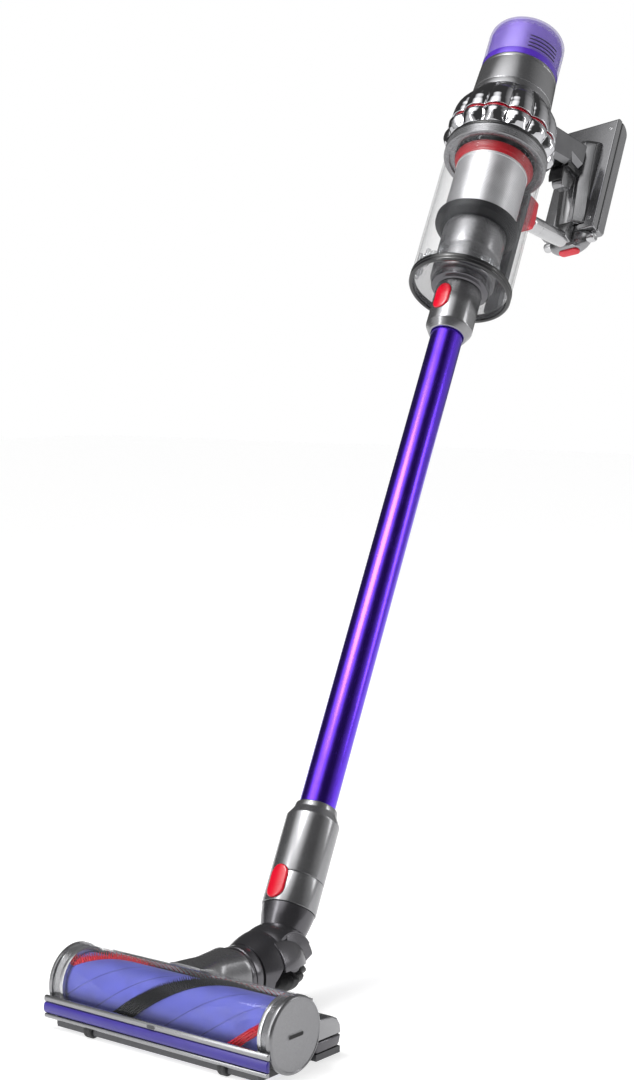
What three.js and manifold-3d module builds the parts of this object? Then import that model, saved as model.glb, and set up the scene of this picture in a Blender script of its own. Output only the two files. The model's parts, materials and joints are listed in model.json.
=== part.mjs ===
// Cordless stick vacuum: motorised floor head, rolling and pitching neck, wand,
// clear bin with a two-tier cyclone, motor with a twist-off filter, and a grip with a battery.
// Millimetres, +Z up. The origin is on the rest strip under the head, midway across it.
import * as THREE from 'three'
import { mergeVertices } from 'three/addons/utils/BufferGeometryUtils.js'
import Module from 'manifold-3d'

const wasm = await Module()
wasm.setup()

// ---- driving dimensions -------------------------------------------------------------------

const GAP = 0.3 // clearance between touching pieces

// floor head, with y = 0 on the brush axis and z = 0 on the floor
const REST_Y = 40 // rest strip behind the brush axis: the part's origin
const HEAD_W = 250 // across the end caps
const CAP_T = 12 // end cap thickness
const AXIS_Z = 35.6 // brush axis above the floor
const COVER_R = 32.4 // clear cover, outside
const WALL = 1.6 // moulded wall
const CORE_R = 25.3 // brush bar body
const TUFT_R = 29.4 // tips of the bristle strips
const SOLE_Z = 3.5 // underside of the sole plate
const SOLE_TOP = 9
const REAR_Y = 67 // back of the rear strip
const REAR_TOP = 37.5
const BLOCK_X = 118 // half width of the rear strip
const DUCT_R = 16 // air bore from the brush chamber to the neck

// neck joint
const NECK_Y = 122.4 // pitch axis behind the brush axis
const NECK_Z = 43.8 // pitch and roll axes above the floor
const LEAN = 35.6 // wand leaned back from upright, degrees
const ROLL = -10.2 // wand rolled towards -X, degrees
const PIN_R = 3.5
const NECK_MOUTH = 24 // neck's open lower end, above the pitch axis
const DOME_BACK = 19 // knuckle's dome ends this far in front of the pitch axis

// machine, along the wand axis, measured up from the pitch axis
const WAND_R = 16.75
const WAND_BORE = 15.2
const SEAM = 78 // head collar meets wand collar
const COLLAR_R = 25
const TUBE = [117, 723]
const TOP_COLLAR = [688, 745]
const BIN_R = 54
const BIN = [755.8, 906]
const TIER = [935.3, 955] // lower cyclone tier
const CROWN = [957.5, 1000] // upper cyclone tier
const HOUSING = [1000.3, 1045.7]
const FILTER = [1046, 1104]
const LOBES = 13 // cyclones in each tier

// grip side, +y of the machine
const FACE_Y = 145 // battery's face towards the bin
const PACK = { halfWidth: 35, thickness: 24, bottom: 940.3, top: 1103 }
const STRUT_R = 9.5

const deg = Math.PI / 180

// ---- solids -------------------------------------------------------------------------------

// A closed manifold solid from any closed three.js geometry, faces turned outwards.
function solid(geometry) {
  const bare = geometry.index ? geometry.toNonIndexed() : geometry.clone()
  bare.deleteAttribute('normal')
  bare.deleteAttribute('uv')
  const merged = mergeVertices(bare, 1e-4)
  const index = merged.index.array
  const triVerts = []
  for (let i = 0; i < index.length; i += 3) {
    const [a, b, c] = [index[i], index[i + 1], index[i + 2]]
    if (a !== b && b !== c && c !== a) triVerts.push(a, b, c)
  }
  const vertProperties = merged.attributes.position.array
  if (volume(vertProperties, triVerts) < 0) {
    for (let i = 0; i < triVerts.length; i += 3) {
      const first = triVerts[i]
      triVerts[i] = triVerts[i + 1]
      triVerts[i + 1] = first
    }
  }
  const mesh = new wasm.Mesh({
    numProp: 3,
    vertProperties: Float32Array.from(vertProperties),
    triVerts: Uint32Array.from(triVerts)
  })
  mesh.merge()
  return new wasm.Manifold(mesh)
}

function volume(vertices, triangles) {
  const point = (i) => new THREE.Vector3().fromArray(vertices, 3 * i)
  let six = 0
  for (let i = 0; i < triangles.length; i += 3) {
    six += point(triangles[i]).dot(point(triangles[i + 1]).cross(point(triangles[i + 2])))
  }
  return six / 6
}

function join(...parts) {
  return parts.reduce((whole, part) => whole.add(part))
}

function cut(body, ...tools) {
  return tools.reduce((rest, tool) => rest.subtract(tool), body)
}

// Solid of revolution about Z from [radius, z] points; the outline closes on itself.
function lathe(profile, segments = 28) {
  const points = profile.map(([r, z]) => new THREE.Vector2(r, z))
  if (profile[0][0] > 0 || profile.at(-1)[0] > 0) points.push(points[0].clone())
  const geometry = new THREE.LatheGeometry(points, segments)
  geometry.rotateX(90 * deg)
  return solid(geometry)
}

function ring(inner, outer, z0, z1, segments = 28) {
  return lathe([[inner, z0], [outer, z0], [outer, z1], [inner, z1]], segments)
}

function disc(radius, z0, z1, segments = 28) {
  return lathe([[0, z0], [radius, z0], [radius, z1], [0, z1]], segments)
}

function box(x0, x1, y0, y1, z0, z1) {
  const geometry = new THREE.BoxGeometry(x1 - x0, y1 - y0, z1 - z0)
  geometry.translate((x0 + x1) / 2, (y0 + y1) / 2, (z0 + z1) / 2)
  return solid(geometry)
}

// Cylinder about an axis parallel to X or Y.
function barX(radius, x0, x1, y, z, segments = 24) {
  const geometry = new THREE.CylinderGeometry(radius, radius, x1 - x0, segments)
  geometry.rotateZ(90 * deg)
  geometry.translate((x0 + x1) / 2, y, z)
  return solid(geometry)
}

function barY(radius, y0, y1, x, z, segments = 24) {
  const geometry = new THREE.CylinderGeometry(radius, radius, y1 - y0, segments)
  geometry.translate(x, (y0 + y1) / 2, z)
  return solid(geometry)
}

// Outline of [a, b] points extruded along the third axis; bevel chamfers both ends.
function prism(outline, depth, bevel = 0) {
  const shape = new THREE.Shape(outline.map(([a, b]) => new THREE.Vector2(a, b)))
  return new THREE.ExtrudeGeometry(shape, {
    depth: depth - 2 * bevel,
    bevelEnabled: bevel > 0,
    bevelThickness: bevel,
    bevelSize: bevel,
    bevelOffset: -bevel,
    bevelSegments: 1,
    steps: 1
  })
}

// Outline in (y, z), extruded from x0 to x1.
function prismX(outline, x0, x1, bevel = 0) {
  const geometry = prism(outline, x1 - x0, bevel)
  geometry.translate(0, 0, x0 + bevel)
  const yzx = new THREE.Matrix4().set(0, 0, 1, 0, 1, 0, 0, 0, 0, 1, 0, 0, 0, 0, 0, 1)
  geometry.applyMatrix4(yzx)
  return solid(geometry)
}

// Outline in (x, y), extruded from z0 to z1.
function prismZ(outline, z0, z1, bevel = 0) {
  const geometry = prism(outline, z1 - z0, bevel)
  geometry.translate(0, 0, z0 + bevel)
  return solid(geometry)
}

// Outline in (x, z), extruded from y0 to y1.
function prismY(outline, y0, y1) {
  const geometry = prism(outline, y1 - y0)
  geometry.rotateX(90 * deg)
  geometry.translate(0, y1, 0)
  return solid(geometry)
}

// Points of an arc about (cy, cz), angles in degrees.
function arc(cy, cz, radius, from, to, steps) {
  return Array.from({ length: steps + 1 }, (_, i) => {
    const a = (from + ((to - from) * i) / steps) * deg
    return [cy + radius * Math.cos(a), cz + radius * Math.sin(a)]
  })
}

// Rounded slot outline: half width a, half length b, centred on (0, mid) of the second axis.
function slotOutline(a, b, mid) {
  const top = arc(0, mid + b - a, a, 0, 180, 6)
  const bottom = arc(0, mid - b + a, a, 180, 360, 6)
  return [...top, ...bottom]
}

// Skin over closed rings of equal point counts, with flat ends.
function loft(rings) {
  const count = rings[0].length
  const triangles = []
  const push = (...points) => points.forEach((p) => triangles.push(...p))
  for (let i = 0; i + 1 < rings.length; i++) {
    for (let j = 0; j < count; j++) {
      const k = (j + 1) % count
      push(rings[i][j], rings[i][k], rings[i + 1][k])
      push(rings[i][j], rings[i + 1][k], rings[i + 1][j])
    }
  }
  const centre = (points) => [0, 1, 2].map((axis) => points.reduce((sum, p) => sum + p[axis], 0) / count)
  const [first, last] = [rings[0], rings.at(-1)]
  for (let j = 0; j < count; j++) {
    const k = (j + 1) % count
    push(centre(first), first[k], first[j])
    push(centre(last), last[j], last[k])
  }
  const geometry = new THREE.BufferGeometry()
  geometry.setAttribute('position', new THREE.Float32BufferAttribute(triangles, 3))
  return solid(geometry)
}

// ---- finishes and placing -----------------------------------------------------------------

const finish = (color, roughness, metalness) => ({ color, roughness, metalness })
const SILVER = finish(0x8d8d90, 0.35, 0.6)
const DARK = finish(0x3b3b3e, 0.4, 0.4)
const BLACK = finish(0x141415, 0.6, 0)
const RED = finish(0xd4002a, 0.35, 0)
const VIOLET = finish(0x4b22c8, 0.25, 0.9)
const PERIWINKLE = finish(0x8a8fe8, 0.7, 0)
const CLEAR = finish(0xf2f4f6, 0.08, 0)
const CHROME = finish(0xd5d5d8, 0.08, 1)
const LAVENDER = finish(0x7a5be0, 0.2, 0)
const WHITE = finish(0xf2f2ee, 0.8, 0)
const STEEL = finish(0xb9b9bc, 0.3, 1)

const group = new THREE.Group()
const head = new THREE.Group()
head.position.set(0, -REST_Y, 0)
const roll = new THREE.Group()
roll.position.set(0, NECK_Y, NECK_Z)
roll.rotation.y = ROLL * deg
const machine = new THREE.Group()
machine.rotation.x = -LEAN * deg
group.add(head)
head.add(roll)
roll.add(machine)

function place(parent, name, body, look) {
  const { vertProperties, triVerts } = body.getMesh()
  const geometry = new THREE.BufferGeometry()
  geometry.setAttribute('position', new THREE.BufferAttribute(new Float32Array(vertProperties), 3))
  geometry.setIndex(new THREE.BufferAttribute(new Uint32Array(triVerts), 1))
  geometry.computeVertexNormals()
  const mesh = new THREE.Mesh(geometry, new THREE.MeshStandardMaterial(look))
  mesh.name = name
  parent.add(mesh)
}

// ---- floor head ---------------------------------------------------------------------------

const inner = HEAD_W / 2 - CAP_T - GAP // half length of the brush chamber
const wheelSpots = [
  { name: 'front_wheel', x: 75, y: -29, radius: 7, width: 9 },
  { name: 'rear_wheel', x: 95, y: 50, radius: 8.5, width: 9 }
]

function wheelPockets(clearance) {
  const pockets = []
  for (const { x, y, radius, width } of wheelSpots) {
    for (const side of [-1, 1]) {
      const half = width / 2 + 1
      const reach = radius + clearance
      pockets.push(box(side * x - half, side * x + half, y - reach, y + reach, -1, 2 * radius + 1.5))
      pockets.push(barX(2.2, side * x - half - 3.4, side * x + half + 3.4, y, radius, 12))
    }
  }
  return pockets
}

// Rear hood, rear strip and duct way: the main moulding of the head.
function headHousing() {
  const outline = [
    ...arc(0, AXIS_Z, COVER_R, 38, 4, 6),
    [36, REAR_TOP],
    [REAR_Y - 9, REAR_TOP - 1.5],
    [REAR_Y - 2, REAR_TOP - 7],
    [REAR_Y, REAR_TOP - 14],
    [REAR_Y - 1, SOLE_TOP + GAP],
    ...arc(0, AXIS_Z, COVER_R - WALL, -58, 38, 12)
  ]
  const strip = [
    [33.5, SOLE_TOP + GAP],
    [33.5, REAR_TOP - 1],
    [36, REAR_TOP],
    [REAR_Y - 9, REAR_TOP - 1.5],
    [REAR_Y - 2, REAR_TOP - 7],
    [REAR_Y, REAR_TOP - 14],
    [REAR_Y - 1, SOLE_TOP + GAP]
  ]
  return cut(
    join(prismX(outline, -inner, inner), prismX(strip, -BLOCK_X, BLOCK_X, 1.5)),
    barY(DUCT_R, 15, 80, 0, NECK_Z),
    box(-27.5, 27.5, 62.8, 80, 10, 60),
    ...wheelPockets(1)
  )
}

// Frame round the suction mouth, with the front bar and the rest strip under its back edge.
function solePlate() {
  const front = [
    [-33, SOLE_Z + 2],
    [-30, SOLE_Z],
    ...arc(0, AXIS_Z, COVER_R - WALL - 0.2, 240, 203, 4),
    [-33, 23]
  ]
  const plate = join(
    box(-inner, inner, -32.5, 34, SOLE_Z, SOLE_TOP),
    box(-BLOCK_X, BLOCK_X, 33.5, REAR_Y - 2, SOLE_Z, SOLE_TOP),
    prismX(front, -inner, inner),
    box(-60, 60, REST_Y - 6, REST_Y + 6, 0, SOLE_Z + 1)
  )
  return cut(plate, box(-109, 109, -24, 18, -1, 30), ...wheelPockets(1))
}

function clearCover() {
  const outline = [
    ...arc(0, AXIS_Z, COVER_R, 38.8, 202, 18),
    ...arc(0, AXIS_Z, COVER_R - WALL, 202, 38.8, 18)
  ]
  return prismX(outline, -inner, inner)
}

function endCap(side) {
  const x = side * (HEAD_W / 2)
  const [low, high] = [Math.min(x, x - side * CAP_T), Math.max(x, x - side * CAP_T)]
  return barX(COVER_R, low, high, 0, AXIS_Z, 30)
}

function ductSaddle() {
  const stations = [
    { y: 16, half: 18, top: 65.9 },
    { y: 30, half: 20, top: 67.5 },
    { y: 45, half: 22.5, top: 69 },
    { y: 62.8, half: 26.4, top: 70 }
  ]
  const section = ({ y, half, top }) => [
    [-half, y, REAR_TOP - 6],
    [half, y, REAR_TOP - 6],
    [half, y, top - 12],
    [half * 0.85, y, top - 5],
    [half * 0.45, y, top - 0.8],
    [0, y, top],
    [-half * 0.45, y, top - 0.8],
    [-half * 0.85, y, top - 5],
    [-half, y, top - 12]
  ]
  const underneath = prismX([
    [20, 10],
    [REAR_Y + 1, 10],
    [REAR_Y + 1, REAR_TOP - 7],
    [REAR_Y - 1.5, REAR_TOP - 6.5],
    [REAR_Y - 8.5, REAR_TOP - 1],
    [36, REAR_TOP + 0.5],
    [30, REAR_TOP + 1.2],
    [20, REAR_TOP + 1.2]
  ], -40, 40)
  return cut(
    loft(stations.map(section).reverse()),
    barX(COVER_R + GAP, -40, 40, 0, AXIS_Z, 60),
    underneath,
    barY(DUCT_R, 15, 80, 0, NECK_Z)
  )
}

// Thin comb moulding on the chamber wall, behind the top of the brush.
function detanglingComb() {
  const outline = [
    ...arc(0, AXIS_Z, TUFT_R + 0.3, 12, 36, 5),
    ...arc(0, AXIS_Z, COVER_R - WALL - GAP, 36, 12, 5)
  ]
  return prismX(outline, -104, 104)
}

function brushCore() {
  const core = barX(CORE_R, -inner + 0.8, inner - 0.8, 0, AXIS_Z, 28)
  return cut(core, barX(20, -inner - 1, inner - 6, 0, AXIS_Z, 20))
}

// Strip of bristles wound nearly once round the brush bar.
function bristleStrip(phase, turns, width) {
  const steps = 36
  const half = inner - 5
  const stations = Array.from({ length: steps + 1 }, (_, i) => {
    const x = -half + (2 * half * i) / steps
    const turn = (phase + turns * 360 * (i / steps)) * deg
    const spread = width / 2 / CORE_R
    const at = (radius, a) => [x, radius * Math.cos(a), AXIS_Z + radius * Math.sin(a)]
    const root = CORE_R + 3 * GAP
    return [
      at(root, turn - spread),
      at(root, turn),
      at(root, turn + spread),
      at(TUFT_R, turn + spread),
      at(TUFT_R, turn),
      at(TUFT_R, turn - spread)
    ]
  })
  return loft(stations)
}

function wheel({ x, y, radius, width }, side) {
  const tread = barX(radius, side * x - width / 2, side * x + width / 2, y, radius, 20)
  const stub = barX(2, side * x - width / 2 - 3.5, side * x + width / 2 + 3.5, y, radius, 12)
  return join(tread, stub)
}

place(head, 'head_housing', headHousing(), SILVER)
place(head, 'sole_plate', solePlate(), DARK)
place(head, 'clear_cover', clearCover(), CLEAR)
place(head, 'front_bumper', box(-HEAD_W / 2, HEAD_W / 2, -37.5, -33.3, 14, 23.3), VIOLET)
place(head, 'front_trim_rail', box(-HEAD_W / 2, HEAD_W / 2, -36.6, -32.9, 23.6, 29.2), SILVER)
place(head, 'end_plate_left', endCap(-1), SILVER)
place(
  head,
  'end_cap_right',
  cut(endCap(1), box(HEAD_W / 2 - 2.5, HEAD_W / 2 + 1, -10, 10, AXIS_Z - 1.2, AXIS_Z + 1.2)),
  SILVER
)
place(head, 'brush_core', brushCore(), PERIWINKLE)
place(head, 'brush_motor', barX(18, -inner + 0.3, -15, 0, AXIS_Z, 20), STEEL)
place(head, 'bristle_strip_red', bristleStrip(125, -0.9, 9), RED)
place(head, 'bristle_strip_black', bristleStrip(300, -0.9, 16), BLACK)
place(head, 'detangling_comb', detanglingComb(), RED)
place(head, 'duct_saddle', ductSaddle(), SILVER)
for (const spot of wheelSpots) {
  place(head, `${spot.name}_left`, wheel(spot, -1), BLACK)
  place(head, `${spot.name}_right`, wheel(spot, 1), BLACK)
}

// ---- rolling collar, knuckle and hose -----------------------------------------------------

// Placed about the roll axis, with y = 0 on the pitch axis; z there is height from the axes.
function aboutRollAxis(profile, segments = 28) {
  const geometry = new THREE.LatheGeometry(
    [...profile, profile[0]].map(([r, y]) => new THREE.Vector2(r, y)),
    segments
  )
  return solid(geometry)
}

function knuckle() {
  const dome = aboutRollAxis([
    [DUCT_R + GAP, -42.4],
    [26.5, -42.4],
    [30.5, -38],
    [32.6, -31],
    [33.2, -24],
    [32.2, -DOME_BACK],
    [DUCT_R + GAP, -DOME_BACK]
  ])
  const cheek = [
    ...arc(0, 0, 15.5, -80, 80, 10),
    [-DOME_BACK - 2, 20],
    [-28, 22],
    [-28, -22],
    [-DOME_BACK - 2, -20]
  ]
  const right = prismX(cheek, 24.2, 33.5, 1.5)
  const left = prismX(cheek, -33.5, -24.2, 1.5)
  const bore = barX(PIN_R + 0.1, -40, 40, 0, 0, 20)
  return cut(join(dome, left, right), bore)
}

// Ribbed hose, bent round behind the pitch axis from the neck's mouth to the knuckle's bore.
// It is trimmed flush with both, and is wider front to back than the fork is across.
function neckHose() {
  const route = new THREE.CatmullRomCurve3([
    new THREE.Vector3(0, 20, 24),
    new THREE.Vector3(0, 16.5, 12),
    new THREE.Vector3(0, 16, 2),
    new THREE.Vector3(0, 10, -9),
    new THREE.Vector3(0, -1, -12),
    new THREE.Vector3(0, -13, -6),
    new THREE.Vector3(0, -24, 0)
  ])
  const wall = new THREE.Shape()
  wall.absellipse(0, 0, 18.3, 20, 0, 2 * Math.PI)
  const blank = solid(new THREE.ExtrudeGeometry(wall, {
    steps: 14,
    curveSegments: 8,
    bevelEnabled: false,
    extrudePath: route
  }))
  const aboveMouth = box(-40, 40, -60, 60, NECK_MOUTH - GAP, 90).rotate([-LEAN, 0, 0])
  return cut(blank, aboveMouth, box(-40, 40, -60, -DOME_BACK + GAP, -60, 60))
}

place(
  head,
  'roll_collar',
  aboutRollAxis([[DUCT_R + GAP, -59.3], [26, -59.3], [26, -42.8], [DUCT_R + GAP, -42.8]])
    .translate([0, NECK_Y, NECK_Z]),
  DARK
)
place(roll, 'knuckle', knuckle(), SILVER)
place(roll, 'pivot_pin_left', barX(PIN_R, -33, -19, 0, 0, 16), STEEL)
place(roll, 'pivot_pin_right', barX(PIN_R, 19, 33, 0, 0, 16), STEEL)

// ---- neck ---------------------------------------------------------------------------------

// Rounded button let into the front of a collar, and the pocket that it slides in.
function collarButton(mid, half, radius, clearance = 0) {
  const outline = slotOutline(9.3 + clearance, half + clearance, mid)
  return prismY(outline, -radius - 1.9 - 5 * clearance, -radius + 2 + 8 * clearance)
}

const HEAD_BUTTON = { mid: 67, half: 16 }
const WAND_BUTTON = { mid: 723.5, half: 15.5 }
const POCKET = 0.35

function neck() {
  const tube = lathe([
    [DUCT_R, NECK_MOUTH],
    [19.5, NECK_MOUTH],
    [22.7, 38],
    [COLLAR_R, 49],
    [COLLAR_R, SEAM],
    [17.9, SEAM],
    [17.9, 60.5],
    [DUCT_R, 60.5]
  ])
  const lug = [...arc(0, 0, 15, 180, 360, 10), [15, 26], [-15, 26]]
  const lugs = join(prismX(lug, 18.9, 23.8), prismX(lug, -23.8, -18.9))
  return cut(
    join(tube, cut(lugs, disc(18.9, NECK_MOUTH, 27))),
    barX(PIN_R + 0.1, -40, 40, 0, 0, 20),
    collarButton(HEAD_BUTTON.mid, HEAD_BUTTON.half, COLLAR_R, POCKET)
  )
}

place(roll, 'neck_hose', neckHose(), BLACK)
place(machine, 'neck', neck(), SILVER)
place(machine, 'neck_spigot', ring(14, 17.5, 61, 112, 28), BLACK)
place(
  machine,
  'head_release_button',
  collarButton(HEAD_BUTTON.mid, HEAD_BUTTON.half, COLLAR_R),
  RED
)

// ---- wand ---------------------------------------------------------------------------------

function wandLowerCollar() {
  const sleeve = lathe([
    [18, SEAM + GAP],
    [COLLAR_R, SEAM + GAP],
    [COLLAR_R, 136],
    [20.5, 144],
    [19.5, 150],
    [WAND_R + GAP, 150],
    [WAND_R + GAP, 116.5],
    [18, 116.5]
  ])
  return cut(sleeve, collarButton(HEAD_BUTTON.mid, HEAD_BUTTON.half, COLLAR_R, POCKET))
}

function wandUpperCollar() {
  const [bottom, top] = TOP_COLLAR
  const sleeve = lathe([
    [WAND_R + GAP, bottom],
    [19.5, bottom],
    [24.4, bottom + 9],
    [24.4, top],
    [17.9, top],
    [17.9, TUBE[1] + 0.5],
    [WAND_R + GAP, TUBE[1] + 0.5]
  ])
  return cut(sleeve, collarButton(WAND_BUTTON.mid, WAND_BUTTON.half, 24.4, POCKET))
}

place(machine, 'wand_tube', ring(WAND_BORE, WAND_R, ...TUBE, 28), VIOLET)
place(machine, 'wand_conduit', box(-4, 4, 9, 13, TUBE[0] + 3, TUBE[1] - 3), BLACK)
place(machine, 'wand_lower_collar', wandLowerCollar(), SILVER)
place(machine, 'wand_upper_collar', wandUpperCollar(), SILVER)
place(machine, 'wand_spigot', ring(14, 17.5, TUBE[1] + 1, 782, 28), BLACK)
place(
  machine,
  'wand_release_button',
  collarButton(WAND_BUTTON.mid, WAND_BUTTON.half, 24.4),
  RED
)

// ---- bin ----------------------------------------------------------------------------------

place(machine, 'bin_cylinder', ring(BIN_R - 2.2, BIN_R, ...BIN, 32), CLEAR)
place(machine, 'bin_lid_ring', ring(45, BIN_R + 0.6, 746, BIN[0] - GAP, 32), DARK)
place(machine, 'bin_lid_window', ring(31, 44.7, 748, 752, 30), CLEAR)
place(machine, 'inlet_collar', ring(18.3, 30.7, 745.8, 757), DARK)
place(
  machine,
  'inlet_duct',
  lathe([
    [18.3, 757.3],
    [34, 757.3],
    [34, 823],
    [31.6, 823],
    [31.6, 760],
    [20.5, 760],
    [20.5, 823],
    [18.3, 823]
  ]),
  SILVER
)
place(
  machine,
  'shroud_skirt',
  lathe([
    [20, 823.3],
    [38, 823.3],
    [45, 828],
    [45, 836],
    [42.8, 836],
    [42.8, 829.5],
    [37, 826.5],
    [20, 826.5]
  ]),
  BLACK
)
place(machine, 'shroud_mesh', ring(37.3, 39.5, 829.8, 907.7, 30), STEEL)
place(
  machine,
  'bin_seal',
  lathe([[38.2, 908], [40.3, 908], [42, 918.7], [38.2, 918.7]], 30),
  RED
)
place(
  machine,
  'bin_top_ring',
  lathe([
    [52, BIN[1] + GAP],
    [56.2, BIN[1] + GAP],
    [56.2, 935],
    [30, 935],
    [30, 931],
    [50, 931],
    [50, 919.4],
    [42.6, 919.4],
    [42.6, 909.5],
    [52, 909.5]
  ], 32),
  SILVER
)

// ---- cyclones -----------------------------------------------------------------------------

// Ring of rounded lobes: the outline swings between the valley and the crest radius.
function lobedRing(valley, crest, z, sharpness) {
  const steps = LOBES * 4
  return Array.from({ length: steps }, (_, i) => {
    const a = (360 / steps) * i * deg
    const bulge = Math.pow(Math.abs(Math.cos((LOBES / 2) * a)), sharpness)
    const radius = valley + (crest - valley) * bulge
    return [radius * Math.sin(a), -radius * Math.cos(a), z]
  })
}

function lowerTier() {
  const [z0, z1] = TIER
  const stations = [
    lobedRing(52, 54, z0, 1),
    lobedRing(53, 61, z0 + 7, 1),
    lobedRing(54, 62.5, z1 - 5, 1),
    lobedRing(55, 58, z1, 1)
  ]
  return cut(loft(stations), disc(40, z0 - 1, z1 + 1))
}

function upperTier() {
  const [z0, z1] = CROWN
  const stations = [
    lobedRing(56, 60.5, z0, 0.6),
    lobedRing(54, 59.5, z0 + 14, 0.6),
    lobedRing(50, 55, z0 + 28, 0.6),
    lobedRing(46, 48, z1, 0.6)
  ]
  return cut(loft(stations), disc(38, z0 - 1, z1 + 1))
}

place(machine, 'cyclone_tier_lower', lowerTier(), CHROME)
place(machine, 'cyclone_gasket', ring(44, 58, 955.3, 957.2, 32), RED)
place(machine, 'cyclone_tier_upper', upperTier(), CHROME)

// ---- motor, filter and display ------------------------------------------------------------

function rotor() {
  const hub = lathe([[0, 1002], [9, 1002.5], [26, 1008.5], [26, 1010], [0, 1010]], 20)
  const shaft = disc(2.6, 1002, 1044, 12)
  const blades = Array.from({ length: 9 }, (_, i) =>
    box(4, 25.5, -0.7, 0.7, 1003, 1009).rotate([0, 0, 40 * i])
  )
  return join(hub, shaft, ...blades)
}

// Folded paper ring between two radii.
function filterPleats() {
  const pleats = 24
  const star = (low, high) => Array.from({ length: 2 * pleats }, (_, i) => {
    const a = (180 / pleats) * i * deg
    const radius = i % 2 ? low : high
    return [radius * Math.cos(a), radius * Math.sin(a)]
  })
  const outer = prismZ(star(35, 38.8), 1049, 1096)
  return cut(outer, disc(29, 1048, 1097, 24))
}

place(
  machine,
  'motor_housing',
  lathe([
    [34, HOUSING[0]],
    [45, HOUSING[0]],
    [43, HOUSING[1]],
    [38, HOUSING[1]],
    [38, HOUSING[1] - 2],
    [40.6, HOUSING[1] - 2],
    [42.4, HOUSING[0] + 2.5],
    [34, HOUSING[0] + 2.5]
  ], 30),
  SILVER
)
place(machine, 'motor_stator', ring(2.9, 29, 1011, 1042, 24), STEEL)
place(machine, 'motor_rotor', rotor(), STEEL)
place(
  machine,
  'filter_cap',
  lathe([
    [40.5, FILTER[0]],
    [43, FILTER[0]],
    [43, 1094],
    [41.5, 1101],
    [37, FILTER[1]],
    [27.2, FILTER[1]],
    [27.2, 1101.5],
    [36, 1101.5],
    [39.2, 1099],
    [40.5, 1094]
  ], 30),
  LAVENDER
)
place(machine, 'filter_pleats', filterPleats(), WHITE)
place(
  machine,
  'display_housing',
  cut(
    disc(26.7, FILTER[0] + GAP, 1102, 28),
    disc(3.6, 1098, 1103, 16).translate([0, 21, 0])
  ),
  DARK
)
place(
  machine,
  'display_glass',
  disc(18.5, 1102.3, 1103.8, 28).translate([0, -3, 0]),
  BLACK
)
place(machine, 'mode_button', disc(3.2, 1099.5, 1104, 16).translate([0, 21, 0]), SILVER)

// ---- grip ---------------------------------------------------------------------------------

// Tapered arm from the motor housing out to the battery spine; the trigger sits in its underside.
function gripArm() {
  const side = [
    [40, 1001],
    [57, 998],
    [68, 987],
    [126, 1009],
    [126, 1051],
    [68, 1030],
    [40, 1024]
  ]
  const cyclones = lathe([[0, 950], [63, 950], [61.5, 975], [56.5, 987], [49.5, 1000.5], [0, 1000.5]])
  const triggerWell = box(-7.8, 7.8, 105, 128.4, 975, 1012)
  return cut(prismX(side, -18, 18, 6), cyclones, disc(45.4, 995, 1050), triggerWell)
}

function trigger() {
  const side = [[105.6, 986], [111, 979.5], [125.5, 984], [127.8, 1005], [105.6, 1005]]
  return prismX(side, -7, 7, 1.2)
}

function handleSpine() {
  const section = [
    [-21, FACE_Y - GAP],
    [21, FACE_Y - GAP],
    [19, 139],
    [12, 130],
    [-12, 130],
    [-19, 139]
  ].reverse()
  const crest = prismX([[126.3, 1012], [131, 1004], [131, 1064], [126.3, 1056]], -13, 13, 1)
  return join(prismZ(section, 948, 1066, 2.5), crest)
}

// Lower strut: a flat neck at the bin rail, a round tube and a foot under the spine.
function strut() {
  const tube = new THREE.CylinderGeometry(STRUT_R, STRUT_R, 64, 20)
  tube.rotateX(21 * deg)
  tube.translate(0, 116, 916)
  const rough = join(solid(tube), box(-5.2, 5.2, 61.9, 90, 899, 909))
  const trimmed = cut(
    rough,
    box(-20, 20, 150, 190, 850, 1000),
    box(-20, 20, FACE_Y - 0.6, 190, 850, 1000),
    box(-20, 20, 40, 61.8, 850, 1000)
  )
  return join(trimmed, box(-9, 9, 131, FACE_Y - 0.6, 922, 947.7))
}

function binRail() {
  const bar = box(-9, 9, 48, 61.5, 762, 925)
  return cut(bar, disc(BIN_R + GAP, 750, 906.2, 32), disc(56.5, 906, 930, 32))
}

function binLever() {
  const body = prismX([[62, 890], [66, 885], [78, 889], [80, 900], [77, 925], [62, 925]], -9, 9, 1.5)
  return cut(body, box(-5.7, 5.7, 60, 84, 898.6, 930))
}

place(machine, 'grip_arm', gripArm(), CHROME)
place(machine, 'trigger', trigger(), SILVER)
place(machine, 'handle_spine', handleSpine(), SILVER)
place(machine, 'handle_strut', strut(), SILVER)
place(machine, 'bin_rail', binRail(), DARK)
place(machine, 'bin_release_lever', binLever(), RED)

// ---- battery ------------------------------------------------------------------------------

function batteryPack() {
  const { halfWidth, thickness, bottom, top } = PACK
  const back = FACE_Y + thickness
  const side = [
    [FACE_Y, bottom],
    [back - 2, bottom],
    [back, bottom + 4],
    [back, top - 14],
    ...arc(back - 14, top - 14, 14, 15, 75, 3),
    [FACE_Y + 7, top],
    [FACE_Y, top - 4]
  ]
  return prismX(side, -halfWidth, halfWidth, 1.5)
}

// Latch housing under the pack, boat shaped, with a round stud at each side.
function batteryLatchHousing() {
  const boat = (halfX, halfY, y, z) => Array.from({ length: 16 }, (_, i) => {
    const a = 22.5 * i * deg
    return [halfX * Math.cos(a), y + halfY * Math.sin(a), z]
  })
  const hull = loft([
    boat(19, 7.5, 158, 922),
    boat(27, 11, 157, 930),
    boat(28, 11.5, 157, PACK.bottom - GAP)
  ])
  const studs = barX(5.4, -33.5, 33.5, 156, 933.5, 16)
  return cut(join(hull, studs), box(-13.6, 13.6, 153, 164, 920, 926))
}

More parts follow.
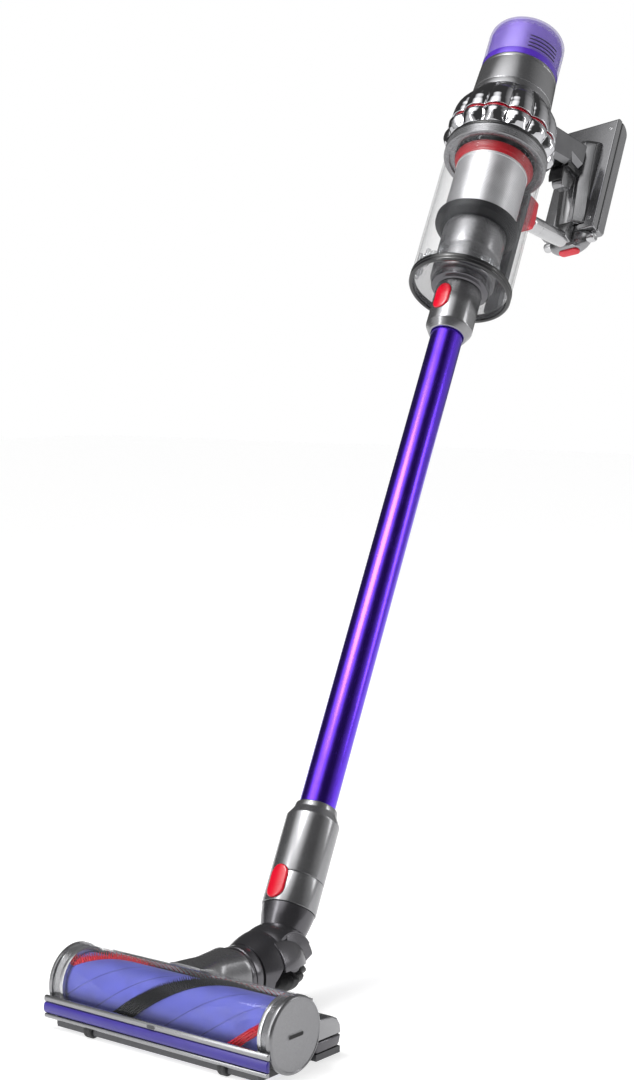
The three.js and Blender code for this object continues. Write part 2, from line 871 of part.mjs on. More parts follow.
place(machine, 'battery_pack', batteryPack(), SILVER)
place(machine, 'battery_latch_housing', batteryLatchHousing(), SILVER)
place(
  machine,
  'battery_release_button',
  box(-13.2, 13.2, 153.4, 163.6, 920.2, 923.5),
  RED
)

export default group
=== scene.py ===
# Cordless stick vacuum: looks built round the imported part, in metres in the part's own frame.
import json
from math import acos, asin, atan2, cos, hypot, pi, radians, sin, sqrt

import bmesh
import bpy
from mathutils import Matrix, Vector

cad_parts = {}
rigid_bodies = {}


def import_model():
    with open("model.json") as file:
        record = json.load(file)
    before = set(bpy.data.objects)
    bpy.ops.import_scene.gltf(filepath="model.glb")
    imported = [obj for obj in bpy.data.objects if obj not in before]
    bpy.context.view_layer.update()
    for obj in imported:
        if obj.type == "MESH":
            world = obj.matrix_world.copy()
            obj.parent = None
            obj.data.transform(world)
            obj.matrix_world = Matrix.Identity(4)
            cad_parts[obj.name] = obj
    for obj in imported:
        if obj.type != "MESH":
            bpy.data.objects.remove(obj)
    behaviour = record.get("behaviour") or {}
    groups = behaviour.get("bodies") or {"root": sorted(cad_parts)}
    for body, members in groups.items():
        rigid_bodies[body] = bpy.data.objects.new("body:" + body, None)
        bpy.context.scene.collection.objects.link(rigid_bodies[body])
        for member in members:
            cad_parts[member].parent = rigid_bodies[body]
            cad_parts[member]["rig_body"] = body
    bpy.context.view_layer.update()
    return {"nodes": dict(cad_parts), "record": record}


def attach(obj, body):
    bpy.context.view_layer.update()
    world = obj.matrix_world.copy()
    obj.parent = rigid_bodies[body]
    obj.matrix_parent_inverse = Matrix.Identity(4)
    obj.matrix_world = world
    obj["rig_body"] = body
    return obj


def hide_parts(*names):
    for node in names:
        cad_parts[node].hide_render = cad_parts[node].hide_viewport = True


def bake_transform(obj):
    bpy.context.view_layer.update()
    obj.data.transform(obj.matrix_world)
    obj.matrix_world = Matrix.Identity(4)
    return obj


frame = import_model()

# ---- wand tube ------------------------------------------------------------------------------
# Thin-walled aluminium tube, drawn, polished and anodised violet, with a flat moulded conduit
# inside it for the wires to the floor head. It is pressed into a collar at each end.

joints = {joint["name"]: joint for joint in frame["record"]["behaviour"]["joints"]}
across = Vector(joints["neck_pitch"]["axis"])
up_wand = -Vector(joints["wand_release"]["axis"])
neck_pin = Vector(joints["neck_pitch"]["pos_m"])


def stood(first, second, third, place):
    """Matrix that takes a piece from millimetres in its own axes to the shared frame."""
    turn = Matrix((first, second, third)).transposed().to_4x4()
    return Matrix.Translation(place) @ turn @ Matrix.Scale(0.001, 4)


machine = stood(across, up_wand.cross(across), up_wand, neck_pin)


def reach(node, axes=machine):
    """Lowest and highest corner of a CAD node, in millimetres in the given axes."""
    inward = axes.inverted()
    points = [inward @ vertex.co for vertex in frame["nodes"][node].data.vertices]
    low = Vector([min(point[i] for point in points) for i in range(3)])
    high = Vector([max(point[i] for point in points) for i in range(3)])
    return low, high


def eased(outline, radius, closed=True, cuts=3):
    """The outline with its corners rounded off."""
    smooth = []
    last = len(outline) - 1
    for i, corner in enumerate(outline):
        if not closed and i in (0, last):
            smooth.append(tuple(corner))
            continue
        here = Vector(corner)
        back, ahead = Vector(outline[i - 1]) - here, Vector(outline[(i + 1) % (last + 1)]) - here
        room = min(radius, 0.45 * back.length, 0.45 * ahead.length)
        start, end = here + back.normalized() * room, here + ahead.normalized() * room
        for step in range(cuts + 1):
            share = step / cuts
            bent = start.lerp(here, share).lerp(here.lerp(end, share), share)
            smooth.append((bent.x, bent.y))
    return smooth


def turned(outline, steps=96):
    """Body turned about z from (radius, height) points."""
    mesh = bmesh.new()
    corners = [mesh.verts.new((radius, 0, height)) for radius, height in outline]
    pairs = list(zip(corners, corners[1:]))
    if outline[0][0] > 0 or outline[-1][0] > 0:
        pairs.append((corners[-1], corners[0]))
    edges = [mesh.edges.new(pair) for pair in pairs]
    bmesh.ops.spin(mesh, geom=corners + edges, cent=(0, 0, 0), axis=(0, 0, 1), angle=2 * pi,
                   steps=steps, use_merge=True)
    bmesh.ops.remove_doubles(mesh, verts=mesh.verts, dist=0.001)
    bmesh.ops.recalc_face_normals(mesh, faces=mesh.faces)
    return mesh


def sleeve(inner, outer, low, high, edge=0.5):
    """Turned ring between two radii and two heights."""
    return turned(eased([(inner, low), (outer, low), (outer, high), (inner, high)], edge))


def made(name, mesh, axes, body, material, replaces=(), sharp=32):
    """Finished piece: its mesh put in place, shaded, and riding on its body."""
    along = mesh.verts.layers.float_vector.new("along")
    for vertex in mesh.verts:
        vertex[along] = vertex.co
    mesh.transform(axes)
    data = bpy.data.meshes.new(name)
    mesh.to_mesh(data)
    mesh.free()
    data.shade_smooth()
    data.set_sharp_from_angle(angle=radians(sharp))
    data.materials.append(material)
    piece = bpy.data.objects.new(name, data)
    bpy.context.collection.objects.link(piece)
    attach(piece, body)
    if replaces:
        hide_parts(*replaces)
    return piece


def fed(tree, kind, *values, **settings):
    """Shader node with its inputs linked or set, in order."""
    node = tree.nodes.new(kind)
    for key, value in settings.items():
        setattr(node, key, value)
    for socket, value in zip(node.inputs, values):
        if isinstance(value, bpy.types.NodeSocket):
            tree.links.new(value, socket)
        elif value is not None:
            socket.default_value = value
    return node


def calc(tree, operation, *values):
    """Result of one sum on shader values."""
    return fed(tree, "ShaderNodeMath", *values, operation=operation).outputs[0]


def millimetres(tree, along_piece, stretch):
    """Position in millimetres, over the whole object or along the piece's own axes."""
    if along_piece:
        where = fed(tree, "ShaderNodeAttribute", attribute_name="along").outputs["Vector"]
        size = stretch
    else:
        where = fed(tree, "ShaderNodeTexCoord").outputs["Object"]
        size = [1000 * value for value in stretch]
    return fed(tree, "ShaderNodeMapping", where, None, None, size).outputs[0]


def noise(tree, where, grain, detail=3.0):
    """Cloudy pattern whose grain is a size in millimetres."""
    return fed(tree, "ShaderNodeTexNoise", where, None, 1 / grain, detail).outputs[0]


def ranged(tree, value, low, high, lowest=0.3, highest=0.7):
    """Shader value moved from one range to another."""
    return fed(tree, "ShaderNodeMapRange", value, lowest, highest, low, high).outputs[0]


def finish(name, colour, rough, metal=0.0, spread=0.1, grain=0.5, relief=0.15, depth=0.00003,
           mottle=0.07, along_piece=False, stretch=(1, 1, 1), **sockets):
    """Material with fine grain in its roughness and surface, and slow drift in its colour."""
    material = bpy.data.materials.new(name)
    material.use_nodes = True
    tree = material.node_tree
    shader = tree.nodes["Principled BSDF"]
    shader.inputs["Metallic"].default_value = metal
    for socket, value in sockets.items():
        shader.inputs[socket.replace("_", " ")].default_value = value
    where = millimetres(tree, along_piece, stretch)
    fine = noise(tree, where, grain)
    slow = noise(tree, millimetres(tree, along_piece, (1, 1, 1)), 17.0)
    drift = ranged(tree, slow, 1 - mottle, 1 + mottle)
    tint = fed(tree, "ShaderNodeVectorMath", colour, None, None, None, operation="SCALE")
    tree.links.new(drift, tint.inputs["Scale"])
    tree.links.new(tint.outputs[0], shader.inputs["Base Color"])
    patch = ranged(tree, slow, -0.25 * spread, 0.25 * spread)
    tree.links.new(calc(tree, "ADD", ranged(tree, fine, rough - 0.5 * spread, rough + 0.5 * spread), patch),
                   shader.inputs["Roughness"])
    bump = fed(tree, "ShaderNodeBump", relief, depth)
    tree.links.new(fine, bump.inputs["Height"])
    tree.links.new(bump.outputs[0], shader.inputs["Normal"])
    return material


def painted(node, material):
    """Finish put on a CAD piece that is carried over as it is."""
    materials = frame["nodes"][node].data.materials
    materials.clear()
    materials.append(material)


anodised = finish("violet_anodised", (0.13, 0.045, 0.72), 0.24, 1.0, spread=0.07, grain=0.35,
                  relief=0.12, along_piece=True, stretch=(1, 1, 0.04), mottle=0.05)
black_moulding = finish("black_moulding", (0.008, 0.008, 0.009), 0.4, grain=0.3, relief=0.2)
tube_low, tube_high = reach("wand_tube")
tube_radius = tube_high.x
made("wand_tube_drawn", sleeve(tube_radius - 1.55, tube_radius, tube_low.z, tube_high.z, 0.3),
     machine, "wand", anodised, ["wand_tube"])
painted("wand_conduit", black_moulding)

# ---- wand collars and their red catches -------------------------------------------------------
# Injection-moulded collars with a silver-grey metallic lacquer. Each has a rounded red push
# button let into its front, a fine parting step, and a black spigot or socket inside it.

silver = finish("grey_metallic_lacquer", (0.27, 0.27, 0.278), 0.24, 0.85, spread=0.06, grain=0.2,
                relief=0.05, mottle=0.02, Coat_Weight=0.25, Coat_Roughness=0.12)
red_gloss = finish("red_moulding", (0.62, 0.0, 0.018), 0.3, spread=0.12, grain=0.6, relief=0.12,
                   Coat_Weight=0.3, Coat_Roughness=0.1)
# Near-black sheet laid where gaps, slots and recesses fall in shade: a painted shadow.
painted_shadow_line = finish("shadow_line", (0.012, 0.012, 0.013), 0.7, grain=0.4, relief=0.2)


def arc(centre_a, centre_b, radius, start, end, steps):
    """Points on an arc, angles in degrees."""
    turns = [radians(start + (end - start) * i / steps) for i in range(steps + 1)]
    return [(centre_a + radius * cos(turn), centre_b + radius * sin(turn)) for turn in turns]


def slot_outline(half_width, half_length, middle, steps=12):
    """Long outline with half-round ends."""
    rise = half_length - half_width
    return (arc(0, middle + rise, half_width, 0, 180, steps)
            + arc(0, middle - rise, half_width, 180, 360, steps))


def lofted(rings, edge=0.0, rounds=3):
    """Skin over closed rings of points, with both ends filled."""
    mesh = bmesh.new()
    loops = []
    for ring in rings:
        corners = [mesh.verts.new(point) for point in ring]
        loops.append([mesh.edges.new(pair) for pair in zip(corners, corners[1:] + corners[:1])])
    for below, above in zip(loops, loops[1:]):
        bmesh.ops.bridge_loops(mesh, edges=below + above)
    bmesh.ops.edgeloop_fill(mesh, edges=loops[0])
    bmesh.ops.edgeloop_fill(mesh, edges=loops[-1])
    return rounded(mesh, edge, rounds)


def rounded(mesh, edge, rounds=3, above=25):
    """Normals turned outwards and sharp edges rounded over."""
    bmesh.ops.recalc_face_normals(mesh, faces=mesh.faces)
    if edge:
        sharp = [each for each in mesh.edges if each.calc_face_angle(0) > radians(above)]
        bmesh.ops.bevel(mesh, geom=sharp, offset=edge, segments=rounds, profile=0.5,
                        affect="EDGES", material=-1, clamp_overlap=True)
        bmesh.ops.recalc_face_normals(mesh, faces=mesh.faces)
    return mesh


def pad(half_width, half_length, middle, radius, stations):
    """Rounded pad wrapped on the front of a collar: stations are (inset, height above it)."""
    rings = []
    for inset, height in stations:
        outline = slot_outline(half_width - inset, half_length - inset, middle)
        rings.append([(x, -sqrt((radius + height) ** 2 - x * x), z) for x, z in outline])
    return lofted(rings)


def catch(name, node, body, collar_body, radius):
    """Red push button of a collar, with a painted shadow line round its pocket."""
    low, high = reach(node)
    middle, half = (low.z + high.z) / 2, (high.z - low.z) / 2
    width = (high.x - low.x) / 2
    crown = [(0, -1.5), (0, 0.9), (0.25, 1.3), (0.8, 1.6), (1.8, 1.75), (4.5, 1.85), (7.5, 1.88)]
    made(name, pad(width, half, middle, radius, crown), machine, body, red_gloss,
         [node])
    # Thin dark ring standing in for the shade in the gap round the button: painted shadow.
    made(name + "_pocket_painted_shadow", pad(width + 0.5, half + 0.5, middle, radius,
                                    [(0, -0.5), (0, 0.06), (0.45, 0.07), (0.55, -0.4)]),
         machine, collar_body, painted_shadow_line)


lower_low, lower_high = reach("wand_lower_collar")
upper_low, upper_high = reach("wand_upper_collar")
collar_radius, upper_radius = lower_high.x, upper_high.x
tube_fit = tube_radius + 0.3
lower_outline = [
    (18, lower_low.z), (collar_radius, lower_low.z), (collar_radius, lower_high.z - 14),
    (20.5, lower_high.z - 6), (19.5, lower_high.z), (tube_fit, lower_high.z),
    (tube_fit, lower_low.z + 38.2), (18, lower_low.z + 38.2)]
made("wand_lower_collar_turned", turned(eased(lower_outline, 1.1)), machine, "wand",
     silver, ["wand_lower_collar"])
upper_outline = [
    (tube_fit, upper_low.z), (19.5, upper_low.z), (upper_radius, upper_low.z + 9),
    (upper_radius, upper_high.z), (17.9, upper_high.z), (17.9, tube_high.z + 0.5),
    (tube_fit, tube_high.z + 0.5)]
made("wand_upper_collar_turned", turned(eased(upper_outline, 1.1)), machine, "wand",
     silver, ["wand_upper_collar"])
catch("wand_catch", "wand_release_button", "wand_button", "wand", upper_radius)
spigot_bore, spigot_radius = 14, 17.5


def spigot(node, body):
    """Black tube that plugs into the socket of the next part."""
    low, high = reach(node)
    made(node + "_turned", sleeve(spigot_bore, spigot_radius, low.z, high.z, 1.0), machine, body,
         black_moulding, [node])


spigot("wand_spigot", "wand")

# ---- neck -------------------------------------------------------------------------------------
# Conical moulding in dark lacquer, from the pivot up to the lacquered collar that takes the wand.
# A lug on each side turns on a steel pin, and a ball-shaped skirt closes the knuckle's mouth.

neck_top = reach("neck")[1].z
mouth = 24
collar_line = 49.2
gunmetal = finish("dark_metallic_lacquer", (0.1, 0.097, 0.106), 0.24, 0.8, spread=0.06, grain=0.2,
                  relief=0.05, mottle=0.02, Coat_Weight=0.25, Coat_Roughness=0.12)
cone = [(16, mouth), (19.5, mouth), (22.5, 38), (24.3, collar_line - 0.3), (18.5, collar_line - 0.3),
        (18.5, 60), (16, 60)]
made("neck_cone", turned(eased(cone, 0.7)), machine, "neck", gunmetal, ["neck"])
collar = [(18.6, collar_line), (collar_radius, collar_line), (collar_radius, neck_top),
          (17.9, neck_top), (17.9, 60.5), (18.6, 60.2)]
made("neck_collar", turned(eased(collar, 0.8)), machine, "neck", silver)


def drawn(outline, low, high, edge=0.8, axis="z", rounds=3):
    """Moulding of one outline drawn straight along an axis, with rounded edges."""
    place = {"x": lambda a, b, c: (c, a, b), "y": lambda a, b, c: (a, c, b),
             "z": lambda a, b, c: (a, b, c)}[axis]
    mesh = bmesh.new()
    face = mesh.faces.new([mesh.verts.new(place(a, b, low)) for a, b in outline])
    grown = bmesh.ops.extrude_face_region(mesh, geom=[face])["geom"]
    moved = [each for each in grown if isinstance(each, bmesh.types.BMVert)]
    bmesh.ops.translate(mesh, verts=moved, vec=place(0, 0, high - low))
    bmesh.ops.holes_fill(mesh, edges=[each for each in mesh.edges if each.is_boundary])
    return rounded(mesh, edge, rounds)


steel = finish("turned_steel", (0.55, 0.55, 0.56), 0.28, 1.0, grain=0.25, relief=0.2)
lug_eye, lug_fan = 8.5, 26
lug_inner, lug_outer = 18.9, 23.8
lug = arc(0, 0, lug_eye, 190, 350, 16) + arc(0, 0, lug_fan, 40, 140, 24)
sides = ((-1, "left"), (1, "right"))
for side, name in sides:
    near, far = sorted((side * lug_inner, side * lug_outer))
    made("neck_lug_" + name, drawn(lug, near, far, 1.0, "x"), machine, "neck", gunmetal)
catch("head_catch", "head_release_button", "head_button", "neck", collar_radius)
spigot("neck_spigot", "neck")
north, upright, sideways = Vector((0, 1, 0)), Vector((0, 0, 1)), Vector((1, 0, 0))
rolled = stood(across, north, across.cross(north), neck_pin)
roll_axis = stood(across.cross(north), across, north, neck_pin)
skirt_ball, skirt_half, skirt_wall = 35.6, 23.6, 2.2
behind, under_lip, turns = -63, 53, 44
sections = []
for step in range(turns + 1):
    turn = radians(behind + (under_lip - behind) * step / turns)
    section = []
    for thickness, direction in ((0, 1), (skirt_wall, -1)):
        for k in range(-12, 13):
            x = skirt_half * direction * k / 12
            lift = sqrt((skirt_ball - thickness) ** 2 - x * x)
            section.append(Vector((x, -lift * sin(turn), lift * cos(turn))))
    sections.append(section)
made("neck_skirt", lofted(sections), rolled, "neck", gunmetal)

# ---- knuckle ----------------------------------------------------------------------------------
# Hollow ball-shaped moulding in dark lacquer that rolls on the head's duct. Its mouth is cut back
# below for the hose, and a rounded cheek on each side of the neck holds a pivot pin.

saddle_grey = finish("mid_metallic_lacquer", (0.22, 0.22, 0.228), 0.27, 0.8, spread=0.06, grain=0.2,
                     relief=0.05, mottle=0.02, Coat_Weight=0.25, Coat_Roughness=0.12)
ball_back = reach("knuckle", rolled)[0].y
mouth_line, mouth_dip = -19.2, 14
duct_ring = 26.4
bulge = 7.0
shell_share = 0.93


def ball_radius(y):
    """Outside radius of the ball at a distance y from the pivot along the roll axis."""
    share = (y - ball_back) / (0 - ball_back)
    return duct_ring + bulge * sin(min(1, 1.45 * share) * pi / 2)


def mouth_edge(height):
    """Where the ball stops: close to the neck above, cut back where the hose comes out."""
    share = max(0, min(1, (8.9 - height) / 20))
    return mouth_line - mouth_dip * share


ball = bmesh.new()
around, rows = 96, 14
outside = []
for row in range(rows + 1):
    corners = []
    for step in range(around):
        turn = 2 * pi * step / around
        end = mouth_edge((duct_ring + bulge - 0.4) * cos(turn))
        y = ball_back + (end - ball_back) * row / rows
        radius = ball_radius(y)
        corners.append((radius * cos(turn), radius * sin(turn), y))
    outside.append(corners)
inside = [[(x * shell_share, y * shell_share, z) for x, y, z in ring] for ring in reversed(outside)]
loops = []
for ring in outside + inside:
    corners = [ball.verts.new(point) for point in ring]
    loops.append([ball.edges.new(pair) for pair in zip(corners, corners[1:] + corners[:1])])
for below, above in zip(loops, loops[1:] + loops[:1]):
    bmesh.ops.bridge_loops(ball, edges=below + above)
bmesh.ops.recalc_face_normals(ball, faces=ball.faces)
made("knuckle_ball", ball, roll_axis, "knuckle", gunmetal, ["knuckle"], sharp=50)
made("knuckle_duct", sleeve(18.6, 21.5, ball_back + 0.2, -36.3, 0.6), roll_axis, "knuckle",
     gunmetal)
cheek_inner, cheek_foot = 24.3, -4
cheek_start, cheek_length, cheek_steps = -24, 38, 24
for side, name in sides:
    sections = []
    for step in range(cheek_steps + 1):
        y = cheek_start + cheek_length * step / cheek_steps
        radius = 33.3 * sqrt(1 - (max(0, y + 19) / 49.5) ** 2)
        top = acos(cheek_inner / radius)
        bottom = max(-top, asin(cheek_foot / radius))
        section = [Vector((side * cheek_inner, y, radius * sin(height))) for height in (top, bottom)]
        for k in range(17):
            turn = bottom + (top - bottom) * (k + 0.5) / 17
            section.append(Vector((side * radius * cos(turn), y, radius * sin(turn))))
        sections.append(section)
    made("knuckle_cheek_" + name, lofted(sections, 0.7, 2), rolled, "knuckle", gunmetal)
    pin_axes = rolled @ Matrix.Rotation(side * pi / 2, 4, "Y")
    pin = turned(eased([(0, 18.9), (3.4, 18.9), (3.4, 29.2), (1.4, 29.2), (1.1, 28.6), (0, 28.6)], 0.4), 32)
    made("pivot_pin_turned_" + name, pin, pin_axes, "knuckle", steel, ["pivot_pin_" + name])

# ---- hose -------------------------------------------------------------------------------------
# Soft black ribbed hose that carries the air past the pivot, from the neck's mouth to the
# knuckle's duct. It is built in its rest pose and rides on no body.

hose_rubber = finish("hose_rubber", (0.05, 0.05, 0.052), 0.34, grain=0.5, relief=0.3)
slope = up_wand.angle(Vector((0, 0, 1)))
neck_way = Vector((0, sin(slope), cos(slope)))
route = [neck_way * 27, neck_way * 19 + Vector((0, 2.5, 0)), Vector((0, 12.5, 5)), Vector((0, 9, -3.5)),
         Vector((0, 0.5, -8.5)), Vector((0, -9, -8)), Vector((0, -18, -4.5)), Vector((0, -28, -1.5)),
         Vector((0, -38, 0))]


def smooth_route(points, steps):
    """Evenly stepped curve through the points, with its direction at each step."""
    curve = []
    padded = [points[0] * 2 - points[1]] + points + [points[-1] * 2 - points[-2]]
    for i in range(1, len(padded) - 2):
        a, b, c, d = padded[i - 1:i + 3]
        for step in range(steps):
            t = step / steps
            curve.append(0.5 * (2 * b + (c - a) * t + (2 * a - 5 * b + 4 * c - d) * t * t
                                + (3 * b - a - 3 * c + d) * t ** 3))
    return curve + [points[-1]]


hose_line = smooth_route(route, 8)
crest, flank, groove = 18.8, 17.1, 14.8
widest = 8
rings = []
for i, point in enumerate(hose_line):
    ahead = hose_line[min(i + 1, len(hose_line) - 1)] - hose_line[max(i - 1, 0)]
    ahead.normalize()
    out_way = ahead.cross(sideways)
    radius = (crest, flank, groove, flank)[i % 4]
    swell = widest * sin(pi * min(1, max(0, (i - 14) / 34)))
    ring = []
    for k in range(48):
        turn = 2 * pi * k / 48
        below = min(1, max(0, -3 * sin(turn)))
        ring.append(point + (radius + swell * below) * cos(turn) * sideways + radius * sin(turn) * out_way)
    rings.append(ring)
hose = lofted(rings)
hose_piece = made("neck_hose_ribbed", hose, rolled, "knuckle", hose_rubber, [], sharp=60)
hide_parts("neck_hose")
hose_piece.parent = None
del hose_piece["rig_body"]
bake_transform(hose_piece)

# ---- roll collar and duct saddle ----------------------------------------------------------------
# The duct leaves the brush housing under a smooth saddle moulding that flares to a round collar.
# The knuckle rolls in the collar; a dark seal ring shows in the joint between them.

axle = Vector(joints["brush_spin"]["pos_m"])
head = stood(sideways, north, upright, Vector((0, axle.y, 0)))
collar_back, collar_front = [corner.y for corner in reach("roll_collar", rolled)]
duct_axis = stood(upright, sideways, north, neck_pin)
ring_outline = [(16.3, collar_back), (25.6, collar_back), (26, collar_back + 1.5),
                (26, collar_back + 5), (25.3, collar_back + 5.3), (25.3, collar_back + 6.2),
                (26, collar_back + 6.5), (26, collar_front - 2.4), (25.2, collar_front - 2),
                (25.2, collar_front), (16.3, collar_front)]
made("roll_collar_turned", turned(eased(ring_outline, 0.5)), duct_axis, "head", gunmetal,
     ["roll_collar"])
made("roll_seal", sleeve(17, 24.9, collar_front - 0.5, collar_front + 0.35, 0.2), duct_axis, "head",
     black_moulding)


squareness = 0.62


def saddle_section(y, half, top, foot):
    """Arch across the saddle, from one foot to the other."""
    crown = []
    for step in range(25):
        turn = pi * step / 24
        x = half * (1 if cos(turn) > 0 else -1) * abs(cos(turn)) ** squareness
        crown.append((x, y, foot + (top - foot) * sin(turn) ** squareness))
    return [(half, y, foot - 1.5)] + crown + [(-half, y, foot - 1.5)]


saddle_high = reach("duct_saddle", head)[1]
axle_height = axle.z * 1000
saddle_start, saddle_end = 6, saddle_high.y - 0.2
over_cover = 32.7
strip_top = 36.5
nose = 0.12
stations = []
for step in range(13):
    share = step / 12
    y = saddle_start + (saddle_end - saddle_start) * share
    on_cover = axle_height + sqrt(over_cover ** 2 - y * y) if y < over_cover else 0
    foot = max(on_cover - 6, strip_top)
    if share < 0.35:
        foot = on_cover - 0.6 - 2 * share
    half = 17.2 + 8.9 * share ** 1.4
    rise = min(1, share / nose) ** 0.5
    crest = saddle_high.z - 1.2 * (1 - share)
    top = (on_cover + 0.3) * (1 - rise) + crest * rise
    stations.append(saddle_section(y, half, max(top, foot + 2), foot))
made("duct_saddle_lofted", lofted(stations, 0.8, 2), head, "head", saddle_grey,
     ["duct_saddle"], sharp=40)
# Thin dark strips along the saddle's sides: painted shadow standing for the shade in its parting seams.
for side, name in sides:
    seam = drawn([(side * 24.2, 40.5), (side * 25.2, 40.5), (side * 25.2, 41.1), (side * 24.2, 41.1)],
                 48, saddle_high.y - 1, 0.15, "y", 1)
    made("saddle_seam_" + name, seam, head, "head", painted_shadow_line)

# ---- main moulding of the head ------------------------------------------------------------------
# Curved hood over the back of the brush and a straight rear strip behind it, moulded in two
# halves with a parting line between them, over a flat dark sole plate with the suction mouth.

house_high = reach("head_housing", head)[1]
chamber = reach("clear_cover", head)[1].x
hood_radius, chamber_radius = 32.4, 30.8
hood = (arc(0, axle_height, hood_radius, 38, 2, 12) + [(36, house_high.z - 0.4), (36, 12)]
        + arc(0, axle_height, chamber_radius, -50, 38, 24))
made("hood", drawn(hood, -chamber, chamber, 0.5, "x", 2), head, "head", silver,
     ["head_housing"], sharp=25)
back = house_high.y
strip_upper = [(34, 19.3), (34, 37), (36, 37.5), (back - 12, 36.3), (back - 5, 33), (back - 1, 27),
               (back, 19.3)]
strip_lower = [(34, 9.3), (34, 18.7), (back - 0.3, 18.7), (back - 2.5, 12), (back - 5, 9.3)]
block = house_high.x
for name, outline in (("upper", strip_upper), ("lower", strip_lower)):
    made("rear_strip_" + name, drawn(outline, -block, block, 1.6, "x"), head, "head",
         silver if name == "upper" else gunmetal)
dark_moulding = finish("dark_grey_moulding", (0.06, 0.06, 0.065), 0.42, 0.1, grain=0.3, relief=0.3)
painted("sole_plate", dark_moulding)
screw_side = [(0, 0), (3.2, 0), (3.2, -0.5), (2.6, -0.9), (1.2, -0.9), (1, -0.3), (0, -0.3)]
for x in (-100, -40, 40, 100):
    screw = turned(eased(screw_side, 0.2), 24)
    bmesh.ops.translate(screw, verts=screw.verts, vec=(x, 28, reach("sole_plate", head)[0].z + 3.5))
    made("sole_screw_%d" % (x + 100), screw, head, "head", steel)

# ---- clear brush cover --------------------------------------------------------------------------
# Thin clear polycarbonate shell over the front and top of the brush, clipped in behind the
# trim rail, with polished edges.


def clear(name, tint, haze, edge_haze, rough=0.05):
    """Clear moulding: lets light through, hazier where it turns away, with a gloss."""
    material = finish(name, tint, rough, spread=0.04, grain=3.0, relief=0.03, mottle=0.02)
    tree = material.node_tree
    shader, out = tree.nodes["Principled BSDF"], tree.nodes["Material Output"]
    shader.inputs["Metallic"].default_value = 0.6
    facing = fed(tree, "ShaderNodeLayerWeight", 0.35).outputs["Facing"]
    share = fed(tree, "ShaderNodeMapRange", calc(tree, "POWER", facing, 2.2), 0.0, 1.0, haze,
                edge_haze).outputs[0]
    through = tree.nodes.new("ShaderNodeBsdfTransparent")
    mixed = tree.nodes.new("ShaderNodeMixShader")
    tree.links.new(share, mixed.inputs["Fac"])
    tree.links.new(through.outputs[0], mixed.inputs[1])
    tree.links.new(shader.outputs[0], mixed.inputs[2])
    tree.links.new(mixed.outputs[0], out.inputs["Surface"])
    return material


clear_shell = clear("clear_polycarbonate", (0.62, 0.63, 0.66), 0.012, 0.42)
cover_radius = reach("clear_cover", head)[1].z - axle_height
shell = (arc(0, axle_height, cover_radius, 38.8, 202, 48)
         + arc(0, axle_height, cover_radius - 1.6, 202, 38.8, 48))
made("brush_cover_shell", drawn(shell, -chamber - 6.2, chamber + 6.2, 0.35, "x", 2), head, "head",
     clear_shell, ["clear_cover"])
bead = drawn(arc(0, axle_height, cover_radius + 0.05, 38.8, 42, 3)
             + arc(0, axle_height, cover_radius - 1.7, 42, 38.8, 3), -chamber, chamber, 0.3, "x", 2)
made("cover_back_bead", bead, head, "head", silver)

# ---- bumper and trim rail -----------------------------------------------------------------------
# Soft violet bumper along the front edge, under a bright lacquered rail with a small latch mark,
# over a grey lip on the sole.

violet_soft = finish("violet_bumper", (0.026, 0.013, 0.23), 0.36, grain=0.5, relief=0.25,
                     Sheen_Weight=0.15)
bright_lacquer = finish("bright_metallic_lacquer", (0.5, 0.5, 0.51), 0.2, 0.9, spread=0.08,
                        grain=0.25, relief=0.08, mottle=0.03)
half_head = reach("front_bumper", head)[1].x


def bar_outline(node, bulge):
    """Rounded section of a bar that runs along the front of the head."""
    low, high = reach(node, head)
    middle, half = (low.z + high.z) / 2, (high.z - low.z) / 2
    front = [(low.y + bulge * (1 - cos(turn)), middle + half * sin(turn))
             for turn in [radians(-90 + 180 * i / 12) for i in range(13)]]
    return front + [(high.y, high.z), (high.y, low.z)]


made("front_bumper_bar", drawn(bar_outline("front_bumper", 2.4), -half_head, half_head, 1.0, "x"),
     head, "head", violet_soft, ["front_bumper"])
made("front_rail_bar", drawn(bar_outline("front_trim_rail", 1.5), -half_head, half_head, 0.8, "x"),
     head, "head", silver, ["front_trim_rail"])
rail_low, rail_high = reach("front_trim_rail", head)
mark = [(b, a + (rail_low.z + rail_high.z) / 2) for a, b in slot_outline(1.5, 4.5, 0)]
made("rail_latch_mark", drawn(mark, rail_low.y - 0.25, rail_low.y + 2, 0.2, "y", 2), head, "head",
     dark_moulding)
lip = [(-37, 11.2), (-36.6, 13.5), (-33.5, 13.5), (-33.5, 9.8), (-35.5, 9.6)]
made("front_lip", drawn(lip, -half_head + 0.5, half_head - 0.5, 0.5, "x"), head, "head",
     silver)

# ---- end plates ---------------------------------------------------------------------------------
# Round lacquered mouldings that close the brush chamber. The right one turns an eighth of a turn
# with a coin in its slot and comes off with the brush; inside each is a bright seal ring.

along_x = stood(north, upright, sideways, axle)
cap_inner, cap_outer = [corner.x for corner in reach("end_cap_right", head)]
cap_outline = [(0, cap_inner), (30.2, cap_inner), (30.2, cap_inner + 6.4), (32.4, cap_inner + 6.6),
               (32.3, cap_outer - 2.2), (31.2, cap_outer - 0.7), (29.9, cap_outer - 0.25),
               (29.3, cap_outer - 0.9), (0, cap_outer - 0.9)]
made("right_end_cap_turned", turned(eased(cap_outline, 0.5, False)), along_x, "end_cap",
     saddle_grey, ["end_cap_right"])
mirrored = [(radius, -height) for radius, height in cap_outline]
made("left_end_plate_turned", turned(eased(mirrored, 0.5, False)), along_x, "head",
     silver, ["end_plate_left"])
